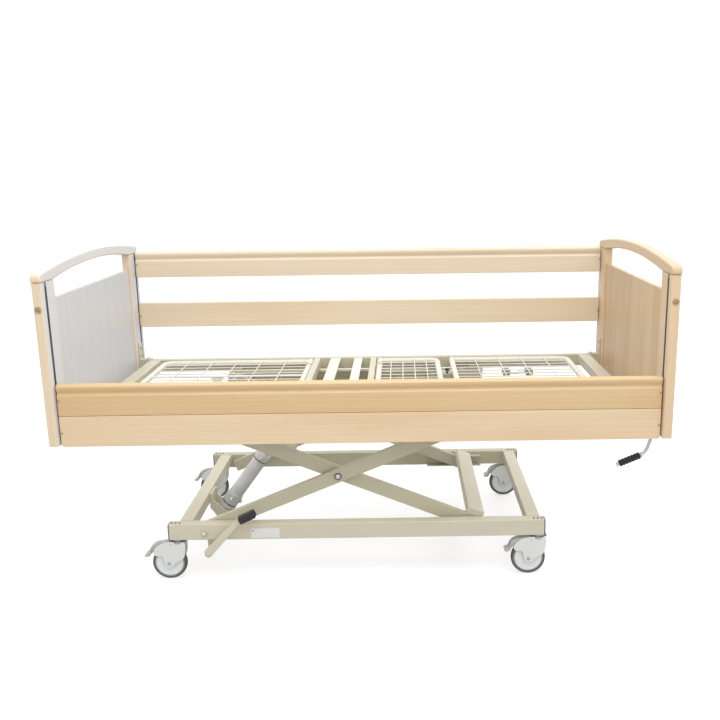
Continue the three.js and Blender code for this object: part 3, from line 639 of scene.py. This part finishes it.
def side_rails():
    # The near upper rail takes painted shade, the far rails painted light.
    finish = {("lower", "near"): RAIL_LOWER, ("upper", "near"): RAIL_UPPER_SHADED,
              ("lower", "far"): RAIL_FAR_LOWER_LIT, ("upper", "far"): RAIL_FAR_UPPER_LIT}
    for side, s in SIDES:
        for level in ("lower", "upper"):
            node_name = f"siderail_{level}_{side}"
            low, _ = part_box(node_name)
            middle = s * RAIL_MIDDLE
            if level == "lower":
                outline = []
                for x, z, radius, a, steps in ((1.024, 0.106, 0.002, 0, 3), (-1.024, 0.106, 0.002, 90, 3),
                                               (-1.017, 0.009, 0.009, 180, 6), (1.017, 0.009, 0.009, 270, 6)):
                    outline += arc(x, low.z + z, radius, a, a + 90, steps)
                board = sheet(outline, "Y", middle - RAIL_HALF, middle + RAIL_HALF, 0.003, 3, 60)
            else:
                outline = upper_outline(middle, RAIL_HALF, low.z)
                board = sheet(outline, "X", -1.026, 1.026, 0.0028, 3, 60)
            body = f"rail_{level}_{side}"
            piece(f"rail_board_{level}_{side}", [board], finish[level, side], body, [node_name])
            gliders(level, side, s, low.z, body)


def gliders(level, side, s, z0, body):
    """Guide blocks on the rail ends and the screws that hold them."""
    z_low = z0 + (0.014 if level == "lower" else 0.02)
    y = s * 0.481
    blocks, screws = [], []
    for e in (-1, 1):
        x0, x1 = sorted((e * 1.0255, e * 1.0378))
        blocks.append(slab((x0, y - 0.0064, z_low), (x1, y + 0.0064, z_low + 0.05), 0.0015, 2))
        x0, x1 = sorted((e * 1.0262, e * 1.0276))
        blocks.append(slab((x0, y - 0.0064, z_low - 0.006), (x1, y + 0.0064, z_low + 0.056), 0.0004, 1))
        for face in (-1, 1):
            out = s * RAIL_MIDDLE + face * (RAIL_HALF + 0.0001)
            screws.append(screw((e * 1.0205, out, z_low + 0.035), (0, face, 0), 0.0038))
    piece(f"rail_gliders_{level}_{side}", blocks, SLATE_AND_GROOVE_SHADE, body)
    piece(f"rail_screws_{level}_{side}", screws, BRASS, body)


# ---- mattress sections
def section(name, body, hinge_x, free_x, cross_wires, extra=()):
    """Tube frame with round free corners and a welded wire mesh."""
    corner = 0.042
    path = filleted([(hinge_x, -SECTION_Y, SECTION_Z), (free_x, -SECTION_Y, SECTION_Z),
                     (free_x, SECTION_Y, SECTION_Z), (hinge_x, SECTION_Y, SECTION_Z)], corner, 10)
    shells = [pipe(path, TUBE_R, 20)]
    reach = SECTION_Y + TUBE_R
    shells.append(lathe(ring_profile(0, TUBE_R, -reach, reach), "Y", (hinge_x, 0, SECTION_Z), 20))
    x0, x1 = sorted((hinge_x, free_x))
    pitch = 2 * SECTION_Y / (LENGTHWISE_WIRES + 1)
    low_z, high_z = SECTION_Z + 0.0036, SECTION_Z + 0.0074
    for i in range(LENGTHWISE_WIRES):
        y = -SECTION_Y + (i + 1) * pitch
        shells.append(pipe([(x0, y, low_z), (x1, y, low_z)], WIRE_R, 10))
    for i in range(cross_wires):
        x = x0 + (i + 1) * (x1 - x0) / (cross_wires + 1)
        shells.append(pipe([(x, -SECTION_Y, high_z), (x, SECTION_Y, high_z)], WIRE_R, 10))
    beads = []
    for i in range(LENGTHWISE_WIRES):
        y = -SECTION_Y + (i + 1) * pitch
        for x, way in ((x0, 1), (x1, -1)):
            beads.append(dome((x + way * 0.0108, y, low_z + 0.001), (way * 0.5, 0, 1), 0.0036, 0.0024))
    shells += list(extra)
    piece(f"{name}_mesh", shells, PAINT_LIT, body, [name])
    piece(f"{name}_spot_welds", beads, PAINT_LIT, body)


def knee_ear(tube_x, toward, y0, y1):
    """Ear from an end tube to the knee pin."""
    reach = KNEE_X + toward * 0.0005
    outline = [(tube_x, SECTION_Z - 0.009)]
    outline += arc(reach, SECTION_Z, 0.009, -90 if toward > 0 else 270, 90, 8)
    outline += [(tube_x, SECTION_Z + 0.009)]
    return sheet(outline, "Y", y0, y1, 0.0008, 1)


def sections():
    section("section_back", "back", -0.262, -0.905, 5, back_extras())
    thigh, leg, knobs = [], [], []
    for s in (-1, 1):
        thigh.append(knee_ear(THIGH_END, 1, *sorted((s * 0.171, s * 0.177))))
        leg.append(knee_ear(LEG_START, -1, *sorted((s * 0.1776, s * 0.184))))
        y0, y1 = sorted((s * 0.171, s * 0.19))
        thigh.append(lathe([(0, y0), (0.005, y0), (0.005, y1), (0, y1)], "Y", (KNEE_X, 0, SECTION_Z), 20))
        knob = mm((0, 0), (8.5, 0), (9.5, 2), (9.5, 6), (8, 8.5), (4.5, 10), (0, 10.4))
        knobs.append(turned(knob, (0, s, 0), (KNEE_X, s * 0.1842, SECTION_Z)))
        knobs.append(turned(knob, (0, 0, 1), (KNEE_X, s * 0.174, SECTION_Z + 0.0088)))
    section("section_thigh", "thigh", 0.045, THIGH_END, 4, thigh)
    leg_extras(leg)
    section("section_leg", "leg", LEG_START, 0.875, 4, leg)
    piece("knee_knobs", knobs, BLACK, "thigh")


def back_extras():
    """Two stiffening rods under the back mesh and the lug for its lifting strut."""
    shells = [pipe([(-0.905, y, SECTION_Z - 0.0035), (-0.262, y, SECTION_Z - 0.0035)], 0.0048, 12)
              for y in (-0.172, 0.172)]
    lug = softened(mm((-660, 622), (-600, 622), (-615, 603), (-645, 603)), 1)
    for s in (-1, 1):
        shells.append(sheet(lug, "Y", *sorted((s * 0.168, s * 0.176)), 0.0006, 1))
    return shells


def leg_extras(leg):
    """Extra wire at the foot end of the leg mesh and the ratchet under it."""
    leg.append(pipe([(0.8, -0.15, 0.638), (0.872, -0.15, 0.638)], WIRE_R, 10))
    ratchet = []
    for x in (0.57, 0.668):
        plate = softened([(x, 0.625), (x + 0.034, 0.625), (x + 0.03, 0.596), (x + 0.004, 0.596)], 1)
        ratchet.append(sheet(plate, "Y", RATCHET_Y - 0.014, RATCHET_Y + 0.014, 0.0015, 2))
        for dy in (-0.022, 0.022):
            y = RATCHET_Y + dy
            ratchet.append(slab((x + 0.002, y - 0.003, 0.6), (x + 0.032, y + 0.003, 0.622), 0.001, 1))
            inner = RATCHET_Y + dy * 0.4
            ratchet.append(slab((x + 0.012, y - 0.001, 0.604), (x + 0.022, inner, 0.612), 0.0008, 1))
    # The ratchet brackets take the dark taupe, painted shade under the leg section.
    piece("leg_ratchet_brackets", ratchet, TAUPE_PAINTED_SHADE, "leg")
    rod = mm((0, 596), (8.2, 596), (9, 598), (9, 640), (7.5, 641), (7.5, 674), (0, 674))
    piece("leg_ratchet_rod", [lathe(rod, "X", (0, RATCHET_Y, 0.61), 24)], CHROME, "leg")


def knee_tray():
    """Ribbed channel across the frame under the knee, on which the two sections rest. Its dark taupe is painted
    shade under the deck.
    """
    shells = []
    for x0, x1 in ((0.262, 0.318), (0.372, 0.478)):
        shells.append(slab((x0, -0.395, 0.5977), (x1, 0.395, 0.6005), 0.0006, 1))
        for i in range(15):
            y = -0.378 + i * 0.054
            shells.append(slab((x0 + 0.003, y - 0.006, 0.6), (x1 - 0.003, y + 0.006, 0.606), 0.0018, 2))
        for x in (x0 + 0.002, x1 - 0.002):
            shells.append(slab((x - 0.0018, -0.365, 0.584), (x + 0.0018, 0.365, 0.6), 0.0006, 1))
    piece("knee_support_tray", shells, TAUPE_PAINTED_SHADE, "bed")


# ---- frame details
def frame_details():
    for name in ("base_rail_near", "base_cross_head", "base_cross_foot", "pump_bracket", "arm_inner_cross",
                 "bed_side_near", "bed_end_head", "bed_end_foot", "bed_cross_back", "bed_cross_thigh"):
        dress(name, PAINT, 0.0008)
    # The slats take the paler copy of the cream coat, painted light.
    for name in ("seat_slat_a", "seat_slat_b"):
        dress(name, PAINT_LIT, 0.0008)
    # The far and under-bed parts take the darker copy of the cream coat, painted shade.
    for name in ("base_rail_far", "bed_side_far", "arm_outer_near", "arm_outer_far", "arm_inner_near",
                 "arm_inner_far", "lift_tube", "lift_rail_near", "lift_rail_far"):
        dress(name, PAINT_SHADED, 0.0008)
    base_plugs()
    arm_plugs()
    arm_pins()
    welds()
    label()


def base_plugs():
    """Moulded plugs in the open ends of the base tubes, and the screws over each caster."""
    for side, s in SIDES:
        low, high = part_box(f"base_rail_{side}")
        y = s * STEM_Y
        for end, e, x in (("head", -1, low.x), ("foot", 1, high.x)):
            face = prism(rounded_rect(y, BASE_Z, 0.0385, 0.0585, 0.006), "X", *sorted((x, x + e * 0.005)))
            face = rounded(face, 0.0016, 2)
            x0, x1 = sorted((x - e * 0.016, x + e * 0.001))
            core = prism(rounded_rect(y, BASE_Z, 0.0335, 0.0535, 0.003), "X", x0, x1)
            piece(f"base_plug_{end}_{side}", [face, core], PLUG, "base")
            studs = [dome((x - e * step, y - 0.004, 0.215), (0, 0, 1), 0.004, 0.0026)
                     for step in (0.008, 0.022, 0.036)]
            piece(f"caster_screws_{end}_{side}", studs, PLUG, "base")


def arm_plugs():
    """Caps in the open ends of the cross tube and of the inner arms."""
    place = Matrix.Translation(CROSS) @ Matrix.Rotation(ARM_TILT, 4, "Y")
    caps, plugs = [], []
    for s in (-1, 1):
        y0, y1 = sorted((s * 0.3331, s * 0.3352))
        caps.append(slab((0.4942, y0, 0.0256), (0.5578, y1, 0.0512), 0.0009, 2))
        y0, y1 = sorted((s * 0.3125, s * 0.3335))
        plugs.append(slab((0.5581, y0, -0.0244), (0.5612, y1, 0.0244), 0.0012, 2))
    piece("cross_tube_caps", [moved(c, place) for c in caps], PAINT, "arms_inner")
    piece("inner_arm_plugs", [moved(c, place) for c in plugs], PLUG, "arms_inner")


def arm_pins():
    """Domed caps on the scissor pins, and dark washers behind the cross caps whose dark colour paints the
    shadow gap around them.
    """
    for side, s in SIDES:
        piece(f"pivot_cap_{side}", [dome((-0.584, s * 0.4098, 0.18), (0, s, 0), 0.0072, 0.0046)], CREAM_STEEL,
              "arms_outer")
        piece(f"cross_cap_{side}", [dome((CROSS.x, s * 0.3672, CROSS.z), (0, s, 0), 0.0088, 0.0056)],
              CREAM_STEEL, "arms_outer")
        # Dark ring behind the cross cap: painted shadow gap.
        ring = mm((8.6, 0), (13.6, 0), (13.6, 1), (12.6, 1.8), (8.6, 1.8))
        piece(f"cross_shadow_washer_{side}", [turned(ring, (0, s, 0), (CROSS.x, s * 0.3668, CROSS.z), 36)], PLUG,
              "arms_outer")
        inner = bolt_head((-0.584, s * 0.306, 0.576), (0, -s, 0), 0.019, 0.008)
        piece(f"top_pivot_nut_{side}", inner, ZINC, "bed")
    for level, body in (("upper", "roller_upper"), ("lower", "roller_lower")):
        low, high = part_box(f"roller_axle_{level}")
        middle = ((low.x + high.x) / 2, 0, (low.z + high.z) / 2)
        shells = []
        reach = high.y
        width = 0.024 if level == "upper" else 0.0219
        for s in (-1, 1):
            y0, y1 = sorted((s * reach, s * (reach - width)))
            shells.append(lathe(ring_profile(0.0072, 0.017, y0, y1, 0.0015), "Y", middle, 40))
            clip = s * (reach - width - 0.003)
            y0, y1 = clip - 0.001, clip + 0.001
            shells.append(lathe([(0.0071, y0), (0.0105, y0), (0.0105, y1), (0.0071, y1)], "Y", middle, 28))
        shells.append(lathe(ring_profile(0, 0.007, -reach + 0.001, reach - 0.001), "Y", middle, 28))
        piece(f"roller_set_{level}", shells, ZINC, body, [f"roller_axle_{level}"])


def welds():
    """Fillet welds where cross members meet the side members."""
    beads = []
    for x0, x1 in ((-0.68, -0.632), (0.594, 0.642)):
        for s in (-1, 1):
            y = s * 0.3642
            for x, seed in ((x0, 1), (x1, 2)):
                beads.append(weld_bead([(x, y, 0.172), (x, y, 0.2135)], 0.0024, seed))
            beads.append(weld_bead([(x0 + 0.002, y, 0.2152), (x1 - 0.002, y, 0.2152)], 0.0022, 3))
    piece("base_welds", beads, PAINT, "base")
    beads = []
    for x0, x1, z in ((-0.985, -0.935, 0.642), (0.935, 0.985, 0.642), (-0.247, -0.221, 0.642),
                      (0.003, 0.029, 0.642), (-0.175, -0.131, 0.6416), (-0.069, -0.033, 0.6416)):
        for s in (-1, 1):
            y = s * 0.4293
            beads.append(weld_bead([(x0 + 0.002, y, z - 0.0006), (x1 - 0.002, y, z - 0.0006)], 0.0021, 4))
            for x, seed in ((x0, 5), (x1, 6)):
                beads.append(weld_bead([(x, y, z - 0.034), (x, y, z - 0.002)], 0.002, seed))
    for x in (-0.6, -0.568, 0.44, 0.472):
        for s in (-1, 1):
            beads.append(weld_bead([(x, s * 0.4292, 0.574), (x, s * 0.4292, 0.61)], 0.0022, 7))
    piece("bed_frame_welds", beads, PAINT, "bed")


def label():
    """Blank rating plate on the near base tube."""
    plate = sheet(rounded_rect(LABEL_X, LABEL_Z, 0.104, 0.037, 0.003), "Y", LABEL_FACE, -0.4049, 0.0002, 1)
    stripe = prism(rounded_rect(LABEL_X, LABEL_Z, 0.098, 0.031, 0.002), "Y", -0.4058, -0.4054)
    piece("blank_plate", [plate, stripe], FILM, "base")
    rivet = dome((LABEL_X - 0.045, LABEL_FACE, LABEL_Z + 0.01), (0, -1, 0), 0.0028, 0.0012)
    piece("plate_rivet", [rivet], PLUG, "base")


# ---- casters
def caster(end, side, s):
    x, y = STEM_X[end], s * STEM_Y
    low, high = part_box(f"caster_wheel_{end}_{side}")
    hub = (low + high) / 2
    tag = f"{end}_{side}"
    fork, wheel, pedal = f"fork_{tag}", f"wheel_{tag}", f"pedal_{tag}"
    axle = (hub.x, y, hub.z)
    cheek = mm((28, 129), (28, 144.5), (4, 147), (-34, 146.5), (-62, 140), (-84.5, 123), (-91, 106),
               (-86, 94.5), (-73, 91.5), (-57, 93), (-53.5, 70), (-50, 52), (-35, 44), (-19, 50), (-10, 64),
               (6, 72), (19, 80), (26.5, 100))
    cheek = softened([(x + dx, z) for dx, z in cheek], 2)
    shells = [sheet(cheek, "Y", y + dy - 0.003, y + dy + 0.003, 0.0016, 3, 60) for dy in (-0.017, 0.017)]
    crown = softened([(x + 0.027, 0.13), (x + 0.027, 0.143), (x - 0.01, 0.146), (x - 0.018, 0.144),
                      (x - 0.018, 0.13)], 1)
    shells.append(sheet(crown, "Y", y - 0.0165, y + 0.0165, 0.0015, 2, 60))
    piece(f"caster_housing_{tag}", shells, CASTER, fork, [f"caster_fork_{tag}"])
    race = mm((0, 141.5), (23.5, 141.5), (24, 145.5), (21.5, 147), (15, 147.5), (12.5, 150), (15, 152.5),
              (20, 153.2), (20, 154.6), (0, 154.6))
    piece(f"caster_bearing_{tag}", [lathe(race, "Z", (x, y, 0), 40)], ZINC, fork)
    # Dark lugs at the two ends of the bearing gap: painted shade in the gap.
    lugs = [slab((x + dx, y - 0.013, 0.1466), (x + dx + 0.0065, y + 0.013, 0.1536), 0.0012, 2)
            for dx in (-0.0305, 0.0235)]
    piece(f"caster_shade_lugs_{tag}", lugs, PLUG, fork)
    fittings = []
    for face in (-1, 1):
        fittings += bolt_head((hub.x, y + face * 0.02, hub.z), (0, face, 0), 0.008, 0.003)
        fittings.append(screw((x - 0.027, y + face * 0.0201, 0.139), (0, face, 0), 0.0034))
    fittings.append(lathe(mm((0, -19.8), (5, -19.8), (5, 19.8), (0, 19.8)), "Y", axle, 20))
    piece(f"caster_axle_{tag}", fittings, ZINC, fork)
    tyre = mm((54.5, -10.4), (59, -10.8), (61.8, -8.5), (62.8, -4), (63, 0), (62.8, 4), (61.8, 8.5),
              (59, 10.8), (54.5, 10.4))
    piece(f"caster_tyre_{tag}", [lathe(tyre, "Y", axle, 64)], TYRE, wheel)
    band = mm((49, -9.8), (54.6, -9.8), (54.6, 9.8), (49, 9.8))
    piece(f"caster_tyre_band_{tag}", [lathe(band, "Y", axle, 64)], BAND, wheel)
    half = mm((5.4, 12), (14, 12), (15, 11.2), (16.5, 9.6), (20, 9), (42, 11.2), (44.5, 10.4), (46, 11.4),
              (48.5, 11.2), (49.5, 10.2))
    disc = half + [(r, -h) for r, h in reversed(half)]
    piece(f"caster_disc_{tag}", [lathe(disc, "Y", axle, 64)], DISC, wheel,
          [f"caster_wheel_{tag}"])
    arm = mm((-20, 136), (-23, 146.6), (-34, 147.4), (-60, 144), (-84, 138.5), (-98, 129), (-104, 113),
             (-107.5, 101.5), (-121.5, 98.5), (-122, 91.5), (-106, 92), (-96, 104), (-73, 121), (-50, 129),
             (-31, 133))
    arm = softened([(x + dx, z) for dx, z in arm], 2)
    paddle = mm((-98.5, 127.5), (-103.5, 114), (-107.2, 102.2), (-122.5, 98.8), (-123, 90.8), (-106, 91.2),
                (-98.5, 101))
    paddle = softened([(x + dx, z) for dx, z in paddle], 2)
    shells = [sheet(arm, "Y", y - 0.0125, y + 0.0125, 0.0014, 2, 60),
              sheet(paddle, "Y", y - 0.019, y + 0.019, 0.0022, 3, 60)]
    for dx, z in ((-0.064, 0.1432), (-0.072, 0.1414), (-0.08, 0.139)):
        x0, x1 = x + dx - 0.0014, x + dx + 0.0014
        shells.append(slab((x0, y - 0.0115, z - 0.006), (x1, y + 0.0115, z + 0.0012), 0.0008, 1))
    piece(f"caster_brake_pedal_{tag}", shells, PEDAL, pedal, [f"caster_pedal_{tag}"])


# ---- pump
def pump():
    lug = CROSS + Vector((-LIFT_LUG * math.cos(ARM_TILT), 0, LIFT_LUG * math.sin(ARM_TILT)))
    head = Vector((lug.x, PUMP_Y, lug.z))
    axis = (head - PUMP_PIVOT).normalized()
    length = (head - PUMP_PIVOT).length
    place = turn_to(axis, PUMP_PIVOT)
    barrel = mm((0, 12), (18, 12), (24, 20), (30.5, 22.5), (32, 25), (32, 40), (29.8, 41.2), (29.8, 45),
                (32, 46.2), (32, 84), (30.8, 90), (28.8, 93), (28, 96), (28, 266), (30, 267.2), (30, 289),
                (28.8, 294.5), (19, 295), (17.2, 300), (0, 300))
    shells = [moved(lathe(barrel, sides=56), place)]
    shells.append(lathe(ring_profile(0.0084, 0.024, -0.0298, 0.0298, 0.0018), "Y", PUMP_PIVOT, 44))
    piece("pump_barrel", shells, BARREL, "cylinder", ["pump_cylinder"])
    rings = []
    for at, radius in ((0.0431, 0.0302), (0.2666, 0.0292)):
        inner, outer, low, high = radius - 0.003, radius + 0.0012, at - 0.0016, at + 0.0016
        rings.append(moved(lathe([(inner, low), (outer, low), (outer, high), (inner, high)], sides=56), place))
    piece("pump_seal_rings", rings, BLACK, "cylinder")
    side = Vector((0, -1, 0))
    valve = bolt_head(PUMP_PIVOT + axis * 0.066 + side * 0.0316, side, 0.015, 0.007)
    valve += bolt_head(PUMP_PIVOT + axis * 0.278 + side * 0.0296, side, 0.01, 0.005)
    across = axis.cross(side)
    valve += bolt_head(PUMP_PIVOT + axis * 0.07 + across * 0.0316, across, 0.012, 0.008)
    piece("pump_valve_screws", valve, CHROME, "cylinder")
    rod = [(0, length - 0.287), (0.0115, length - 0.287), (0.0125, length - 0.285), (0.0125, length - 0.03),
           (0.016, length - 0.027), (0.016, length - 0.016), (0.012, length - 0.012), (0, length - 0.012)]
    piece("pump_piston", [moved(lathe(rod, sides=40), place)], CHROME, "piston", ["pump_rod"])
    eye = lathe(ring_profile(0.007, 0.015, -0.0148, 0.0148, 0.0012), "Y", head, 36)
    piece("pump_rod_eye", [eye], ZINC, "piston")
    bush = mm((8.6, -32.2), (21, -32.2), (21.8, -31.4), (21.8, -30), (8.6, -30))
    piece("pump_pivot_bush", [lathe(bush, "Y", PUMP_PIVOT, 44)], BLACK, "cylinder")


def pump_lever():
    px, pz = LEVER_PIVOT
    gx, gz = GRIP_CENTRE
    tilt = math.radians(25)
    along, up = (math.cos(tilt), math.sin(tilt)), (-math.sin(tilt), math.cos(tilt))
    tip = [(gx + 0.03 * along[0] + h * up[0], gz + 0.03 * along[1] + h * up[1]) for h in (-0.01, 0.01)]
    outline = mm((-580, 118), (-577.5, 108.5), (-570.5, 102), (-562, 101), (-554.5, 106.5),
                 (-444.5, 232.6)) + tip + [(-0.4533, 0.2514), (-0.5785, 0.1275)]
    strip = sheet(outline, "Y", -0.44, -0.43, 0.0018, 3, 60)
    shaft = [(0, -0.4445), (0.0062, -0.4445), (0.007, -0.4437), (0.007, PUMP_Y - 0.0335),
             (0.0062, PUMP_Y - 0.0329), (0, PUMP_Y - 0.0329)]
    shaft = lathe(shaft, "Y", (px, 0, pz), 28)
    piece("lever_bar", [strip, shaft], PAINT, "lever", ["pump_lever"])
    rings, steps = [], 60
    for i in range(steps + 1):
        t = i / steps
        reach = GRIP_HALF * (2 * t - 1)
        ripple = 0.5 - 0.5 * math.cos(2 * math.pi * 6 * t)
        taper = 1 - 0.22 * max(0.0, (abs(t - 0.5) - 0.44) / 0.06) ** 2
        width = (0.0165 + 0.0018 * ripple) * taper
        height = (0.0128 + 0.0016 * ripple) * taper
        outline = rounded_rect(0, 0, 2 * width, 2 * height, 0.006, 5)
        rings.append([(gx + reach * along[0] + v * up[0], -0.435 + u, gz + reach * along[1] + v * up[1])
                      for u, v in outline])
    piece("lever_grip", [loft(rings)], RUBBER, "lever", ["pump_grip"], crease=60)


# ---- crank
def crank():
    x, y, z = CRANK
    slope = math.atan2(-0.038, -0.091)
    path = filleted([(x, y, z - 0.004), (x - 0.019, y, z - 0.062), (x - 0.034, y, z - 0.0795),
                     (x - 0.121, y, z - 0.116)], 0.01, 6)
    eye = [(0.0044, y - 0.006), (0.0082, y - 0.006), (0.009, y - 0.005), (0.009, y + 0.005),
           (0.0082, y + 0.006), (0.0044, y + 0.006)]
    eye = lathe(eye, "Y", (x, 0, z), 32)
    direction = Vector((math.cos(slope), 0, math.sin(slope)))
    collar = mm((0, 0), (8.5, 0), (9, 0.6), (9, 3.4), (8.5, 4), (0, 4))
    shells = [pipe(path, 0.0058, 20), eye]
    shells.append(turned(collar, direction, (x - 0.0365, y, z - 0.0807)))
    shells.append(turned(collar, direction, (x - 0.1215, y, z - 0.1162)))
    piece("crank_shaft", shells, CHROME, "crank", ["crank_handle"])
    start_point = Vector((x - 0.0415, y, z - 0.0828))
    length, ribs = 0.082, 7
    profile = [(0.0066, 0.0)]
    steps = 70
    for i in range(steps + 1):
        t = i / steps
        ripple = 0.5 - 0.5 * math.cos(2 * math.pi * ribs * t)
        ends = 1 - 0.35 * max(0.0, (abs(t - 0.5) - 0.45) / 0.05) ** 2
        profile.append(((0.0108 + 0.0022 * ripple) * ends, length * t))
    profile.append((0.0066, length))
    piece("crank_handgrip", [turned(profile, direction, start_point, 40)], RUBBER, "crank_grip",
          ["crank_grip"], crease=60)


# ---- stage
def camera():
    """Pinhole at the viewing position, with its small roll and a framing shift."""
    place = Vector((0.14566, -3.26179, 1.46435))
    yaw, pitch, roll = (math.radians(a) for a in (-0.2587, 13.1286, -0.7208))
    forward = Vector((-math.sin(yaw) * math.cos(pitch), math.cos(yaw) * math.cos(pitch), -math.sin(pitch)))
    right = Vector((math.cos(yaw), math.sin(yaw), 0))
    up = right.cross(forward)
    x_axis = right * math.cos(roll) + up * math.sin(roll)
    y_axis = up * math.cos(roll) - right * math.sin(roll)
    data = bpy.data.cameras.new("camera")
    data.lens, data.sensor_width = 42.236, 36.0
    data.shift_x, data.shift_y = -0.06439, 0.00732
    data.clip_start, data.clip_end = 0.05, 100.0
    obj = bpy.data.objects.new("camera", data)
    obj.matrix_world = Matrix((x_axis, y_axis, -forward)).transposed().to_4x4()
    obj.location = place
    bpy.context.scene.collection.objects.link(obj)
    bpy.context.scene.camera = obj


def area_light(name, place, target, size, power, colour=(1, 1, 1)):
    data = bpy.data.lights.new(name, "AREA")
    data.shape = "RECTANGLE"
    data.size, data.size_y = size
    data.energy = power
    data.color = colour
    obj = bpy.data.objects.new(name, data)
    obj.location = place
    obj.rotation_euler = (Vector(target) - Vector(place)).to_track_quat("-Z", "Y").to_euler()
    bpy.context.scene.collection.objects.link(obj)


# Surround brightness from the head side to the foot side, and from behind the camera to in front of it.
SIDEWAYS = (1.36, 1.72)
DEPTHWAYS = (0.545, 0.93)
FLOOR_GLOW = 0.6


def studio():
    world = bpy.data.worlds.new("studio")
    bpy.context.scene.world = world
    world.use_nodes = True
    tree = world.node_tree
    tree.nodes.clear()
    direction = node(tree, "SeparateXYZ", {0: node(tree, "TexCoord").outputs["Generated"]})
    sideways = remap(tree, direction.outputs[0], -1.0, 1.0, *SIDEWAYS)
    depth = remap(tree, direction.outputs[1], -1.0, 1.0, *DEPTHWAYS)
    level = times(tree, sideways, depth)
    surround = node(tree, "Background", {"Color": (1, 1, 1, 1), "Strength": level})
    backdrop = node(tree, "Background", {"Color": (1, 1, 1, 1), "Strength": 1.0})
    seen = node(tree, "LightPath").outputs["Is Camera Ray"]
    both = node(tree, "MixShader", {0: seen, 1: surround.outputs[0], 2: backdrop.outputs[0]})
    out = node(tree, "OutputWorld", {0: both.outputs[0]})
    out.is_active_output = True
    area_light("overhead", (0.4, -1.6, 4.2), (0, 0, 0.6), (5.0, 3.0), 80)
    area_light("front", (0.6, -5.5, 2.2), (0, 0, 0.5), (5.0, 2.6), 38)

    work = bmesh.new()
    bmesh.ops.create_grid(work, x_segments=8, y_segments=8, size=30)
    mesh = bpy.data.meshes.new("floor")
    work.to_mesh(mesh)
    work.free()
    floor = bpy.data.objects.new("floor", mesh)
    bpy.context.scene.collection.objects.link(floor)
    material, tree, shader = start("pale_floor")
    tone = remap(tree, noise(tree, coordinates(tree), 1.5, 3.0), 0.3, 0.7)
    tree.links.new(mixed(tree, tone, (0.44, 0.44, 0.44, 1), (0.46, 0.46, 0.46, 1)), shader.inputs["Base Color"])
    shader.inputs["Roughness"].default_value = 0.9
    shader.inputs["Specular IOR Level"].default_value = 0.1
    glow = node(tree, "Emission", {"Color": (1, 1, 1, 1), "Strength": FLOOR_GLOW})
    lit = node(tree, "AddShader", {0: shader.outputs[0], 1: glow.outputs[0]})
    seen = node(tree, "LightPath").outputs["Is Camera Ray"]
    both = node(tree, "MixShader", {0: seen, 1: shader.outputs[0], 2: lit.outputs[0]})
    tree.links.new(both.outputs[0], tree.nodes["Material Output"].inputs["Surface"])
    mesh.materials.append(material)
    scene = bpy.context.scene
    scene.view_settings.view_transform = "Standard"
    scene.view_settings.look = "None"


# ---- everything
camera()
studio()
end_boards()
side_rails()
sections()
knee_tray()
frame_details()
for end_name, _ in ENDS:
    for side_name, side_sign in SIDES:
        caster(end_name, side_name, side_sign)
pump()
pump_lever()
crank()
